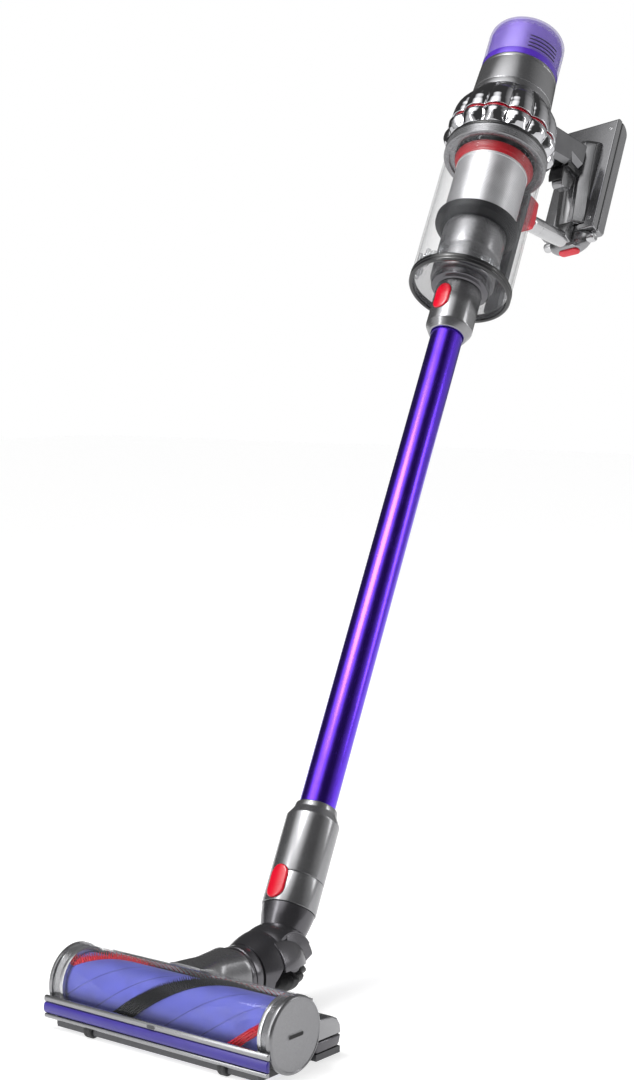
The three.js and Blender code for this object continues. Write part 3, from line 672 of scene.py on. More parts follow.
# The slot's well is a dark inlay inside a grey rim, not a hollow: painted shade for the recess.
for name, half_width, half_length, top, edge, rounds, colouring in (
        ("rim", 2.5, 10.2, cap_outer - 0.62, 0.2, 2, saddle_grey),
        ("well", 1.7, 9.4, cap_outer - 0.56, 0.05, 1, painted_shadow_line)):
    coin_slot = [(b, a) for a, b in slot_outline(half_width, half_length, 0)]
    made("coin_slot_" + name, drawn(coin_slot, cap_outer - 1.2, top, edge, "z", rounds), along_x,
         "end_cap", colouring)
for side, name in sides:
    near, far = sorted((side * (cap_inner - 4.4), side * (cap_inner - 0.35)))
    made("seal_ring_" + name, sleeve(25.9, 30.4, near, far, 0.6), along_x, "head",
         bright_lacquer)

# ---- brush bar ----------------------------------------------------------------------------------
# Tube wrapped in a short-pile nylon sleeve with helical seams, turned by a motor inside it. Two
# strips wind round it: stiff red tufts, and a wider band of fine black carbon-fibre tufts.

def darkened(tree, share):
    """Base colour of a finish multiplied by a pattern."""
    shader = tree.nodes["Principled BSDF"]
    tint = shader.inputs["Base Color"].links[0].from_node
    darker = fed(tree, "ShaderNodeVectorMath", tint.outputs[0], operation="SCALE")
    tree.links.new(share, darker.inputs["Scale"])
    tree.links.new(darker.outputs[0], shader.inputs["Base Color"])


pile = finish("nylon_pile", (0.085, 0.095, 0.45), 0.5, 0.25, spread=0.1, grain=0.28, relief=0.6,
              depth=0.0002, mottle=0.16, along_piece=True, Sheen_Weight=0.15, Sheen_Roughness=0.4)
tree = pile.node_tree
place = fed(tree, "ShaderNodeSeparateXYZ", millimetres(tree, True, (1, 1, 1)))
turn = calc(tree, "MULTIPLY", calc(tree, "ARCTAN2", place.outputs[1], place.outputs[0]), 180 / pi)
wound = calc(tree, "DIVIDE", calc(tree, "ADD", turn, calc(tree, "MULTIPLY", place.outputs[2], 1.5)), 60)
# Thin darker lines along the helical seams of the smooth sleeve: painted shade for the grooves in the pile.
seam_at = calc(tree, "ABSOLUTE", calc(tree, "SUBTRACT", calc(tree, "FRACT", wound), 0.5))
darkened(tree, fed(tree, "ShaderNodeMapRange", seam_at, 0.0, 0.03, 0.3, 1.0).outputs[0])
core_low, core_high = reach("brush_core", head)
core_radius = core_high.y
core = [(20, core_low.x), (core_radius - 0.8, core_low.x), (core_radius, core_low.x + 0.8),
        (core_radius, core_high.x - 0.8), (core_radius - 0.8, core_high.x), (20, core_high.x)]
made("brush_sleeve", turned(core), along_x, "brush", pile, ["brush_core"])
red_tuft = finish("red_nylon_tufts", (0.66, 0.0, 0.02), 0.45, grain=0.3, relief=0.3)
black_tuft = finish("black_carbon_tufts", (0.004, 0.004, 0.005), 0.6, grain=0.3, relief=0.3,
                    Specular_IOR_Level=0.25)
strip_half = chamber - 5
winding = radians(-324 / (2 * strip_half))


def tufts(width, rows, start, step, thick):
    """Band of fine tufts wound round the bar."""
    mesh = bmesh.new()
    tip = 29.2
    x = -strip_half
    count = 0
    while x < strip_half:
        for row in range(rows):
            offset = (row / (rows - 1) - 0.5) * width / core_radius
            turn = radians(start) + winding * (x + strip_half) + offset
            lean_out = 0.05 * sin(7.1 * count)
            count += 1
            way = Vector((cos(turn + lean_out), sin(turn + lean_out), 0.06 * sin(3.7 * count)))
            foot = Vector((cos(turn) * core_radius, sin(turn) * core_radius, x + 0.3 * sin(5.3 * count)))
            length = tip - core_radius - 0.25 * (1 + sin(2.3 * count))
            stand_up = way.to_track_quat("Z", "Y").to_matrix().to_4x4()
            at = Matrix.Translation(foot + way * (length / 2)) @ stand_up
            bmesh.ops.create_cone(mesh, cap_ends=True, segments=5, radius1=thick, radius2=0.3 * thick,
                                  depth=length + 0.8, matrix=at)
        x += step
    bmesh.ops.recalc_face_normals(mesh, faces=mesh.faces)
    return mesh


def binding(width, start):
    """Woven base that holds a band of tufts."""
    rings = []
    for i in range(61):
        x = -strip_half + 2 * strip_half * i / 60
        turn = radians(start) + winding * (x + strip_half)
        spread = width / 2 / core_radius
        edges = [(core_radius - 0.4, -1), (core_radius - 0.4, 0), (core_radius - 0.4, 1),
                 (core_radius + 0.5, 1), (core_radius + 0.9, 0), (core_radius + 0.5, -1)]
        rings.append([(r * cos(turn + k * spread), r * sin(turn + k * spread), x) for r, k in edges])
    return lofted(rings)


strips = (("red", 7.5, 4, 125, 1.7, 0.75, red_tuft), ("black", 14.5, 8, 300, 1.5, 0.6, black_tuft))
for name, width, rows, start, step, thick, colouring in strips:
    made(name + "_strip_binding", binding(width + 1, start), along_x, "brush", colouring,
         ["bristle_strip_" + name])
    made(name + "_strip_tufts", tufts(width, rows, start, step, thick), along_x, "brush",
         colouring)
for node in ("brush_motor", "motor_stator", "motor_rotor"):
    painted(node, steel)

# ---- detangling comb ----------------------------------------------------------------------------
# Thin strip behind the top of the brush with a row of small teeth, red and natural white, that
# lift hair off the tufts.

white_moulding = finish("natural_white_moulding", (0.7, 0.69, 0.66), 0.45, grain=0.5, relief=0.2)
comb_half = reach("detangling_comb", head)[1].x
comb = arc(0, axle_height, 29.75, 12, 36, 10) + arc(0, axle_height, 30.5, 36, 12, 10)
made("comb_strip", drawn(comb, -comb_half, comb_half, 0.15, "x", 1), head, "head",
     black_moulding, ["detangling_comb"])
for name, first, colouring in (("red", 0, red_gloss), ("white", 1, white_moulding),
                               ("grey", 2, white_moulding)):
    teeth = bmesh.new()
    x = -comb_half + 2 + 1.9 * first
    while x < comb_half - 2:
        for angle in (41, 47, 53):
            at = (Matrix.Translation((x, 0, axle_height)) @ Matrix.Rotation(radians(angle), 4, "X")
                  @ Matrix.Translation((0, 30.15, 0)) @ Matrix.Diagonal((0.8, 0.5, 2.6, 1)))
            bmesh.ops.create_cube(teeth, size=1, matrix=at)
        x += 5.7
    made("comb_teeth_" + name, rounded(teeth, 0.1, 1), head, "head", colouring)

# ---- wheels -------------------------------------------------------------------------------------
# Four small black wheels, each a soft rubber tyre on a hard moulded hub. Their stub axles turn in
# pockets let into the sole.

wheel_rubber = finish("wheel_rubber", (0.02, 0.02, 0.021), 0.6, grain=0.35, relief=0.4)
for end in ("front", "rear"):
    for side, name in sides:
        node = "%s_wheel_%s" % (end, name)
        centre = Vector(joints[node + "_roll"]["pos_m"])
        stub_axle = stood(north, upright, sideways, centre)
        radius = reach(node, stub_axle)[1].x
        tyre = [(radius - 2.6, -4.5), (radius - 1, -4.5), (radius, -3.2), (radius, -0.5),
                (radius - 0.5, 0), (radius, 0.5), (radius, 3.2), (radius - 1, 4.5), (radius - 2.6, 4.5)]
        made(node + "_tyre", turned(eased(tyre, 0.5), 48), stub_axle, node, wheel_rubber,
             [node])
        hub = [(0, -8), (1.9, -8), (1.9, -4.2), (radius - 2.8, -3.8), (radius - 2.8, 3.8), (1.9, 4.2),
               (1.9, 8), (0, 8)]
        made(node + "_hub", turned(eased(hub, 0.3, False), 32), stub_axle, node,
             dark_moulding)

# ---- bin lid ------------------------------------------------------------------------------------
# Hinged lid under the clear bin: a dark ring round a clear window moulded in fine rings, with the
# dark inlet collar at its middle and the clear hinge and latch lumps just inside the bin.

clear_bin = clear("clear_bin_polycarbonate", (0.55, 0.56, 0.59), 0.012, 0.42)
lid_low, lid_high = reach("bin_lid_ring")
rim = lid_high.x
lid_top = lid_high.z
black_gloss = finish("black_gloss_moulding", (0.012, 0.012, 0.013), 0.2, grain=0.6, relief=0.1,
                     Coat_Weight=0.3)
lid = [(50.2, lid_low.z + 1), (51, lid_low.z), (rim - 1.4, lid_low.z), (rim, lid_low.z + 1.4),
       (rim, lid_low.z + 3.6), (rim - 0.5, lid_low.z + 4), (rim - 0.5, lid_low.z + 4.8),
       (rim, lid_low.z + 5.2), (rim, lid_top - 0.6), (rim - 0.8, lid_top), (50.2, lid_top)]
made("bin_lid_rim", turned(eased(lid, 0.5)), machine, "machine", black_gloss,
     ["bin_lid_ring"])
window_low, window_high = reach("bin_lid_window")
steps_down = []
for i in range(9):
    start = 31.5 + 2.0 * i
    steps_down += [(start, window_low.z), (start + 1.1, window_low.z), (start + 1.3, window_low.z + 0.8),
                   (start + 1.65, window_low.z + 0.8)]
window = steps_down + [(50, window_low.z), (50, window_high.z), (31.2, window_high.z), (31.2, window_low.z)]
smoked = clear("smoked_lid_polycarbonate", (0.16, 0.16, 0.17), 0.22, 0.8)
made("bin_lid_window_rings", turned(window), machine, "machine", smoked,
     ["bin_lid_window"])
inlet_low, inlet_high = reach("inlet_collar")
inlet = [(18.3, inlet_low.z), (24, inlet_low.z), (25.5, inlet_low.z + 1.5), (29.5, inlet_low.z + 2.2),
         (30.7, inlet_low.z + 3), (30.7, inlet_high.z), (18.3, inlet_high.z)]
made("inlet_collar_turned", turned(eased(inlet, 0.5)), machine, "machine", gunmetal,
     ["inlet_collar"])
inside_wall = 51.6
frosted = clear("clear_lump_polycarbonate", (0.42, 0.43, 0.45), 0.28, 0.95)
lumps = [(-150, 49, 17, 4.5), (-139, 47, 12, 5), (-128, 49.5, 20, 4), (-117, 46.5, 13, 5.5),
         (-106, 49, 15, 4), (-95, 48, 9, 4.5), (-84, 49.5, 12, 3.5), (-30, 49, 8, 4), (-18, 48, 11, 5),
         (-6, 49.5, 7, 4), (62, 48, 14, 6)]
for i, (around_bin, out, tall, thick) in enumerate(lumps):
    spot = machine @ Matrix.Rotation(radians(around_bin), 4, "Z") @ Matrix.Translation((out, 0, 0))
    bulb = [(0, lid_top + 1), (thick, lid_top + 1), (thick, lid_top + 0.55 * tall),
            (0.7 * thick, lid_top + 0.7 * tall), (0.85 * thick, lid_top + 0.85 * tall),
            (0.5 * thick, lid_top + tall), (0, lid_top + tall)]
    bulb = [(min(radius, inside_wall - out), height) for radius, height in bulb]
    made("bin_lump_%02d" % i, turned(eased(bulb, 1.6, False), 28), spot, "machine",
         frosted)

# ---- bin and its inside -------------------------------------------------------------------------
# Clear polycarbonate cylinder. Inside it stand the grey inlet duct, the black skirt and the
# shroud of fine perforated steel, closed by a red seal under the grooved grey top ring.

bin_low, bin_high = reach("bin_cylinder")
bin_radius = bin_high.x
wall = [(bin_radius - 2.2, bin_low.z), (bin_radius, bin_low.z), (bin_radius, bin_low.z + 3),
        (bin_radius - 0.35, bin_low.z + 3.3), (bin_radius - 0.35, bin_high.z + 9.2),
        (bin_radius, bin_high.z + 9.6), (bin_radius, bin_high.z + 12.8),
        (bin_radius - 2.2, bin_high.z + 12.8)]
made("bin_wall", turned(eased(wall, 0.3), 128), machine, "machine", clear_bin,
     ["bin_cylinder"])
duct_low, duct_high = reach("inlet_duct")
duct = [(18.3, duct_low.z), (33.2, duct_low.z), (34, duct_low.z + 1), (34, duct_low.z + 30),
        (33.6, duct_low.z + 30.3), (33.6, duct_low.z + 31), (34, duct_low.z + 31.3), (34, duct_high.z),
        (31.6, duct_high.z), (31.6, duct_low.z + 3), (20.5, duct_low.z + 3), (20.5, duct_high.z),
        (18.3, duct_high.z)]
made("inlet_duct_turned", turned(eased(duct, 0.3)), machine, "machine", saddle_grey,
     ["inlet_duct"])
skirt_black = finish("black_skirt_moulding", (0.004, 0.004, 0.005), 0.5, grain=0.4, relief=0.2,
                     Specular_IOR_Level=0.25)
skirt_low, skirt_high = reach("shroud_skirt")
skirt_radius = skirt_high.x
flare = [(20, skirt_low.z), (37.5, skirt_low.z), (skirt_radius - 1, skirt_low.z + 4),
         (skirt_radius, skirt_low.z + 6), (skirt_radius, skirt_high.z - 0.4),
         (skirt_radius - 0.8, skirt_high.z), (skirt_radius - 2, skirt_high.z - 0.4),
         (skirt_radius - 2.4, skirt_low.z + 7), (37, skirt_low.z + 3.4), (20, skirt_low.z + 3.4)]
made("shroud_skirt_turned", turned(eased(flare, 0.6)), machine, "machine",
     skirt_black, ["shroud_skirt"])
mesh_steel = finish("perforated_steel", (0.78, 0.78, 0.8), 0.34, 0.8, grain=0.3, relief=0.1,
                    along_piece=True)
tree = mesh_steel.node_tree
place = fed(tree, "ShaderNodeSeparateXYZ", millimetres(tree, True, (1, 1, 1)))
mesh_low, mesh_high = reach("shroud_mesh")
mesh_radius = mesh_high.x
round_mesh = calc(tree, "MULTIPLY", calc(tree, "ARCTAN2", place.outputs[1], place.outputs[0]),
                  156 / (2 * pi))
up_mesh = calc(tree, "DIVIDE", place.outputs[2], 1.4)
row_odd = calc(tree, "MULTIPLY", calc(tree, "FLOORED_MODULO", calc(tree, "FLOOR", up_mesh), 2.0), 0.5)
u = calc(tree, "SUBTRACT", calc(tree, "FRACT", calc(tree, "ADD", round_mesh, row_odd)), 0.5)
v = calc(tree, "SUBTRACT", calc(tree, "FRACT", up_mesh), 0.5)
from_hole = calc(tree, "SQRT", calc(tree, "ADD", calc(tree, "MULTIPLY", u, u),
                                    calc(tree, "MULTIPLY", v, v)))
# Each hole is a darker dot of colour on a solid sheet, not an opening: painted shade standing for the
# holes.
darkened(tree, fed(tree, "ShaderNodeMapRange", from_hole, 0.24, 0.34, 0.4, 1.0).outputs[0])
mesh_outline = [(mesh_radius - 2.2, mesh_low.z), (mesh_radius - 0.6, mesh_low.z),
                (mesh_radius, mesh_low.z + 0.7), (mesh_radius, mesh_low.z + 3),
                (mesh_radius - 0.4, mesh_low.z + 3.3), (mesh_radius - 0.4, mesh_high.z - 3),
                (mesh_radius, mesh_high.z - 2.7), (mesh_radius, mesh_high.z),
                (mesh_radius - 2.2, mesh_high.z)]
made("shroud_mesh_sheet", turned(mesh_outline, 128), machine, "machine", mesh_steel,
     ["shroud_mesh"])
seal_low, seal_high = reach("bin_seal")
seal = [(38.2, seal_low.z - 0.5), (39.8, seal_low.z - 0.5), (40.4, seal_low.z + 2.6),
        (41.2, seal_low.z + 3.6), (42.6, seal_low.z + 8), (43.6, seal_high.z - 0.5),
        (38.2, seal_high.z - 0.5)]
red_rubber = finish("red_seal_rubber", (0.33, 0.002, 0.008), 0.4, grain=0.5, relief=0.25)
made("bin_seal_turned", turned(eased(seal, 0.5)), machine, "machine", red_rubber,
     ["bin_seal"])
top_high = reach("bin_top_ring")[1]
top_radius = top_high.x
wall_top = bin_high.z + 13.1
ring = [(50, wall_top), (top_radius - 1.2, wall_top), (top_radius, wall_top + 1)]
for i in range(3):
    at = wall_top + 2.6 + 2.6 * i
    ring += [(top_radius, at), (top_radius - 0.45, at + 0.3), (top_radius - 0.45, at + 0.8),
             (top_radius, at + 1.1)]
ring += [(top_radius, top_high.z - 4.6), (top_radius - 1, top_high.z - 3.6), (44, top_high.z - 3.6),
         (44, wall_top + 3), (50, wall_top + 3)]
made("bin_top_ring_turned", turned(eased(ring, 0.3), 128), machine, "machine",
     saddle_grey, ["bin_top_ring"])
flange = [(40, top_high.z - 3.4), (top_radius - 0.4, top_high.z - 3.4), (top_radius, top_high.z - 2.6),
          (top_radius - 0.3, top_high.z), (40, top_high.z)]
made("bin_top_flange", turned(eased(flange, 0.4), 128), machine, "machine", black_gloss)

# ---- cyclones -----------------------------------------------------------------------------------
# Two tiers of small cyclone cones in one vacuum-metallised moulding each, mirror bright, with a
# thin red gasket between them.

mirror_chrome = finish("vacuum_metallised", (0.55, 0.55, 0.57), 0.06, 1.0, spread=0.05, grain=1.2,
                       relief=0.05, mottle=0.03)
lobes = 13
lobe_steps = 26 * lobes


def lobed(mesh, hollow, reach_in, sharpness):
    """Valleys pressed between the cones, deepest half way round from one to the next."""
    for vertex in mesh.verts:
        x, y, z = vertex.co
        radius = hypot(x, y)
        if radius > hollow:
            swell = abs(cos(lobes / 2 * atan2(x, -y))) ** sharpness
            depth = reach_in(z) * (1 - swell) * min(1, (radius - hollow) / 6)
            vertex.co = (x * (1 - depth / radius), y * (1 - depth / radius), z)
    bmesh.ops.recalc_face_normals(mesh, faces=mesh.faces)
    return mesh


def along(low, high, *values):
    """Value at a height, eased evenly from one given value to the next."""
    def at(height):
        share = max(0, min(0.9999, (height - low) / (high - low))) * (len(values) - 1)
        first = int(share)
        return values[first] + (values[first + 1] - values[first]) * (share - first)
    return at


tier_low, tier_high = reach("cyclone_tier_lower")
tier_wide = along(tier_low.z, tier_high.z, 56.0, 60.2, 62.2, 62.2, 58.6)
rise = tier_high.z - tier_low.z
tier = [(40, tier_low.z)] + [(tier_wide(tier_low.z + rise * i / 14), tier_low.z + rise * i / 14)
                             for i in range(15)]
tier += [(54, tier_high.z), (40, tier_high.z)]
made("cyclone_cones_lower", lobed(turned(eased(tier, 0.6), lobe_steps), 46,
                                  along(tier_low.z, tier_high.z, 3, 8, 8, 6, 3), 0.8), machine, "machine",
     mirror_chrome, ["cyclone_tier_lower"], sharp=60)
gasket_low, gasket_high = reach("cyclone_gasket")
gasket_side = [(44, gasket_low.z), (57.8, gasket_low.z + 0.3), (57.8, gasket_high.z - 0.3),
               (44, gasket_high.z)]
gasket = lobed(turned(eased(gasket_side, 0.6), lobe_steps), 46, along(0, 1, 4, 4), 0.7)
made("cyclone_gasket_lobed", gasket, machine, "machine", red_gloss, ["cyclone_gasket"])
crown_low, crown_high = reach("cyclone_tier_upper")
crown_wide = along(crown_low.z, crown_high.z, 60.3, 60.2, 59.4, 57.6, 54.6, 50.4, 45.9)
rise = crown_high.z - crown_low.z
crown = [(38, crown_low.z)] + [(crown_wide(crown_low.z + rise * i / 24), crown_low.z + rise * i / 24)
                               for i in range(25)]
crown += [(38, crown_high.z)]
made("cyclone_cones_upper", lobed(turned(eased(crown, 0.8), lobe_steps), 42,
                                  along(crown_low.z, crown_high.z, 5, 6.5, 6, 5, 3), 0.6), machine,
     "machine", mirror_chrome, ["cyclone_tier_upper"], sharp=60)

# ---- motor housing ------------------------------------------------------------------------------
# Slightly tapered moulding over the motor, in the grey metallic lacquer, with a parting groove
# near its top. It stands on the upper cyclones and carries the filter.

house_low, house_high = reach("motor_housing")
low_z, high_z = house_low.z, house_high.z
shell = [(34, low_z), (45, low_z), (44.7, low_z + 7), (44.2, low_z + 7.4), (44.2, low_z + 8.2),
         (44.6, low_z + 8.6), (43.3, high_z - 5), (42.8, high_z - 4.6), (42.8, high_z - 3.9),
         (43.1, high_z - 3.4), (43, high_z), (38, high_z), (38, high_z - 2), (40.6, high_z - 2),
         (42, low_z + 2.5), (34, low_z + 2.5)]
made("motor_housing_turned", turned(eased(shell, 0.4), 128), machine, "machine", silver,
     ["motor_housing"])

# ---- filter and display -------------------------------------------------------------------------
# Twist-off filter: a translucent violet shell over a pleated paper ring, with four outlet slots one
# above the other on each side, drawn as thin dark strips of painted shadow. In its middle is the dark
# display housing, with a round lens and one small button.

filter_low, filter_high = reach("filter_cap")
filter_radius = filter_high.x
lavender = finish("translucent_violet_moulding", (0.17, 0.07, 0.66), 0.16, 0.3, grain=0.5, relief=0.1,
                  mottle=0.04, Alpha=0.36, Coat_Weight=0.3, Coat_Roughness=0.08)
top = filter_high.z
shell = [(40.5, filter_low.z), (filter_radius, filter_low.z), (filter_radius, filter_low.z + 5),
         (filter_radius - 0.5, filter_low.z + 5.4), (filter_radius - 0.5, filter_low.z + 6.2),
         (filter_radius, filter_low.z + 6.6), (filter_radius, top - 12), (42.3, top - 6.5),
         (40.4, top - 2.6), (37.2, top - 0.5), (34, top), (27.2, top), (27.2, top - 2.5), (35, top - 2.5),
         (38.8, top - 4.5), (40.5, top - 10)]
made("filter_shell_turned", turned(eased(shell, 0.7), 128), machine, "filter", lavender,
     ["filter_cap"])
band = sleeve(39.8, filter_radius + 0.04, filter_low.z + 0.3, filter_low.z + 8.5, 0.4)
violet_band = finish("violet_band_moulding", (0.10, 0.035, 0.5), 0.25, 0.3, grain=0.5, relief=0.1,
                     Coat_Weight=0.3)
made("filter_band", band, machine, "filter", violet_band)
made("filter_sleeve", sleeve(39.1, 39.9, filter_low.z + 9, top - 11, 0.2), machine, "filter",
     finish("pale_filter_sleeve", (0.78, 0.74, 0.86), 0.35, 0.35, grain=0.5, relief=0.3))
# Outlet slots: thin dark strips on the shell, painted shadow standing for the openings.
for half_turn in (0, 180):
    for level in range(4):
        height = filter_low.z + 13 + 5 * level
        line = bmesh.new()
        corners = [line.verts.new((filter_radius - 0.2 + out, 0, height + up))
                   for out, up in ((0, -0.85), (0.3, -0.7), (0.3, 0.7), (0, 0.85))]
        edges = [line.edges.new(pair) for pair in zip(corners, corners[1:] + corners[:1])]
        bmesh.ops.spin(line, geom=corners + edges, cent=(0, 0, 0), axis=(0, 0, 1), angle=radians(50),
                       steps=24)
        bmesh.ops.holes_fill(line, edges=[each for each in line.edges if each.is_boundary])
        bmesh.ops.recalc_face_normals(line, faces=line.faces)
        spot = machine @ Matrix.Rotation(radians(-46 + half_turn), 4, "Z")
        made("outlet_slot_%d_%d" % (half_turn, level), line, spot, "filter", painted_shadow_line)
paper = finish("filter_paper", (0.74, 0.73, 0.7), 0.85, grain=0.5, relief=0.5)
painted("filter_pleats", paper)
disc_low, disc_high = reach("display_housing")
disc = [(0, disc_low.z), (disc_high.x, disc_low.z), (disc_high.x, disc_high.z - 1.2),
        (disc_high.x - 1, disc_high.z), (20.2, disc_high.z), (19.8, disc_high.z - 0.4),
        (0, disc_high.z - 0.4)]
made("display_housing_turned", turned(eased(disc, 0.4, False)), machine, "machine",
     dark_moulding, ["display_housing"])
lens_low, lens_high = reach("display_glass")
lens_glass = finish("black_lens", (0.008, 0.008, 0.01), 0.06, grain=2.0, relief=0.02, spread=0.03)
lens_spot = machine @ Matrix.Translation(((0, (lens_low.y + lens_high.y) / 2, 0)))
lens_radius = lens_high.x
lens = [(0, lens_low.z), (lens_radius, lens_low.z), (lens_radius, lens_high.z - 0.5),
        (lens_radius - 1.6, lens_high.z - 0.1), (0, lens_high.z)]
made("display_lens", turned(eased(lens, 0.3, False)), lens_spot, "machine", lens_glass,
     ["display_glass"])
display_ring = sleeve(lens_radius - 4.2, lens_radius - 3.4, lens_high.z - 0.4, lens_high.z + 0.08, 0.05)
made("display_ring", display_ring, lens_spot, "machine", violet_soft)
press_low, press_high = reach("mode_button")
press_spot = machine @ Matrix.Translation((0, (press_low.y + press_high.y) / 2, 0))
press = [(0, press_low.z), (3.2, press_low.z), (3.2, press_high.z - 0.7), (2.6, press_high.z - 0.1),
         (1.2, press_high.z - 0.35), (0, press_high.z - 0.4)]
made("mode_button_turned", turned(eased(press, 0.2, False), 40), press_spot, "mode_button",
     bright_lacquer, ["mode_button"])

# ---- grip arm and trigger -----------------------------------------------------------------------
# Faceted arm in dark mirror metallising, from the motor housing out to the spine. The trigger
# slides in a well in its underside, with a black guard in front of it.

dark_chrome = finish("dark_metallised", (0.2, 0.2, 0.208), 0.2, 1.0, spread=0.06, grain=0.8, relief=0.06)
arm = [(43.5, 1001.5), (57, 998), (68, 987), (104, 1001), (104, 1012), (128, 1012.5), (128, 1051),
       (68, 1030), (43.5, 1024)]
made("grip_arm_faceted", drawn(arm, -18, 18, 5.5, "x", 1), machine, "machine", dark_chrome,
     ["grip_arm"], sharp=15)
guard = [(101, 1001), (101, 990), (103.2, 983.5), (104.8, 983.5), (104.8, 1003)]
made("trigger_guard", drawn(guard, -9, 9, 0.8, "x"), machine, "machine", black_moulding)
cheeks = [(104.5, 1003), (104.5, 1013), (128.4, 1013), (128.4, 1006)]
for side, name in sides:
    near, far = sorted((side * 7.6, side * 12))
    made("trigger_well_" + name, drawn(cheeks, near, far, 0.6, "x"), machine, "machine",
         black_gloss)
pull = ([(105.6, 1004.5), (106.2, 987)] + arc(114, 986.5, 8, 188, 262, 8)
        + [(119, 981.5), (125, 984.5), (127.8, 996), (127.8, 1004.5)])
made("trigger_moulded", drawn(pull, -7, 7, 1.6, "x"), machine, "trigger", silver,
     ["trigger"])

# ---- spine and strut ----------------------------------------------------------------------------
# Faceted spine behind the hand, with a painted highlight down its front ridge, joined to the bin by a round
# bright strut.
# The bin slides on a dark rail, which the red lever under the strut lets go.

face = reach("handle_spine")[1].y
spine_side = ((948, 140), (952, 138.6), (985, 134.5), (1012, 130.5), (1045, 127.6), (1058, 128.4),
              (1064, 132), (1066, 136))
spine_rings = []
for height, front in spine_side:
    spine_rings.append([(-21, face, height), (21, face, height), (20.2, front + 7.5, height),
                        (9, front, height), (-9, front, height), (-20.2, front + 7.5, height)])
made("spine_faceted", lofted(spine_rings, 1.2), machine, "machine", silver,
     ["handle_spine"], sharp=18)
# Brighter lacquer strip down the front of the spine: painted highlight where the ridge catches the light.
ridge_highlight_rings = []
for height, front in ((949, 139.6), (985, 134.0), (1012, 130.0), (1045, 127.1), (1058, 127.9), (1063, 131)):
    ridge_highlight_rings.append([(-6.2, front + 1.2, height), (6.2, front + 1.2, height), (5.0, front - 0.3, height),
                        (0, front - 0.7, height), (-5.0, front - 0.3, height)])
made("spine_ridge_highlight", lofted(ridge_highlight_rings, 0.4), machine, "machine", bright_lacquer,
     sharp=30)
strut_start, strut_end = Vector((0, 80, 902.5)), Vector((0, 141, 926.5))
strut_way = (strut_end - strut_start).normalized()
strut_turn = Matrix((sideways, strut_way.cross(sideways), strut_way)).transposed().to_4x4()
strut_axes = machine @ Matrix.Translation(strut_start) @ strut_turn
length = (strut_end - strut_start).length
strut = [(0, -3.5), (6, -3.5), (8.6, -2), (9.5, 1), (9.5, 14), (9.1, 14.3), (9.1, 15), (9.5, 15.3),
         (9.5, length - 2), (0, length - 2)]
made("strut_tube", turned(eased(strut, 0.6, False), 64), strut_axes, "machine",
     bright_lacquer, ["handle_strut"])
root = [(61.9, 899.3), (84, 899.3), (84, 908.6), (61.9, 908.6)]
made("strut_root", drawn(root, -5.1, 5.1, 1.2, "x"), machine, "machine", silver)
foot = [(131, 922), (face - 0.3, 922), (face - 0.3, 949), (139, 949), (134, 944)]
made("strut_foot", drawn(foot, -10, 10, 1.6, "x"), machine, "machine", silver)
rail_low, rail_high = reach("bin_rail")
rail_step = 906
for name, fit, low_z, high_z in (("lower", bin_radius + 0.35, rail_low.z, rail_step - 0.2),
                                 ("upper", top_radius + 0.4, rail_step + 0.2, rail_high.z)):
    rail = arc(0, 0, fit, 99.4, 80.6, 10)
    rail += [(9, rail_high.y - 1), (8, rail_high.y), (-8, rail_high.y), (-9, rail_high.y - 1)]
    made("bin_rail_" + name, drawn(rail, low_z, high_z, 0.5), machine, "machine",
         black_moulding, ["bin_rail"] if name == "lower" else [])
lever = [(62, 890), (66, 885), (78, 889), (80, 898.4), (62, 898.4)]
made("bin_lever_thumb", drawn(lever, -9, 9, 1.8, "x"), machine, "bin_lever", red_gloss,
     ["bin_release_lever"])
for side, name in sides:
    near, far = sorted((side * 5.7, side * 9))
    arm = [(62, 896), (79.5, 896), (77.5, 924), (74, 925), (62, 925)]
    made("bin_lever_arm_" + name, drawn(arm, near, far, 0.9, "x"), machine, "bin_lever",
         red_gloss)
for i in range(3):
    start, foot = 67.5 + 3.6 * i, 884.9 + 1.1 * i
    rib = [(start, foot), (start + 1.2, foot), (start + 1.2, 890), (start, 890)]
    made("bin_lever_rib_%d" % i, drawn(rib, -6.5, 6.5, 0.3, "x", 2), machine, "bin_lever",
         red_gloss)

# ---- battery ------------------------------------------------------------------------------------
# Flat lacquered pack that slides up the spine. Its latch housing hangs below, boat shaped, with a
# round stud at each side and a red button underneath; four small screws face the spine.

pack_low, pack_high = reach("battery_pack")
near, far, base, tip = pack_low.y, pack_high.y, pack_low.z, pack_high.z
half_wide = pack_high.x
shoulder = 14
for name, start, end in (("face", near, near + 8.6), ("back", near + 8.75, far)):
    if name == "face":
        side_view = [(start, base), (end, base), (end, tip - 0.3), (start + 3, tip - 0.6), (start, tip - 4)]
        edge = 1.3
    else:
        side_view = ([(start, base), (end - 3, base), (end, base + 5), (end, tip - shoulder)]
                     + arc(end - shoulder, tip - shoulder, shoulder, 8, 80, 10) + [(start, tip)])
        edge = 6.0
    made("battery_shell_" + name, drawn(side_view, -half_wide, half_wide, edge, "x", 6), machine, "battery",
         silver, ["battery_pack"] if name == "face" else [], sharp=28)
# Dark sheet showing in the narrow gap between the face and back shells: painted shadow for the seam.
seam = [(near + 2, base + 1.5), (far - 4, base + 1.5), (far - 4, tip - 9), (near + 12, tip - 1.6),
        (near + 2, tip - 4)]
made("battery_seam", drawn(seam, -half_wide + 0.5, half_wide - 0.5, 0.5, "x", 2), machine, "battery",
     painted_shadow_line)


def boat(half_x, half_y, y, z):
    """Level oval ring of the latch housing."""
    return [(half_x * cos(2 * pi * i / 40), y + half_y * sin(2 * pi * i / 40), z) for i in range(40)]


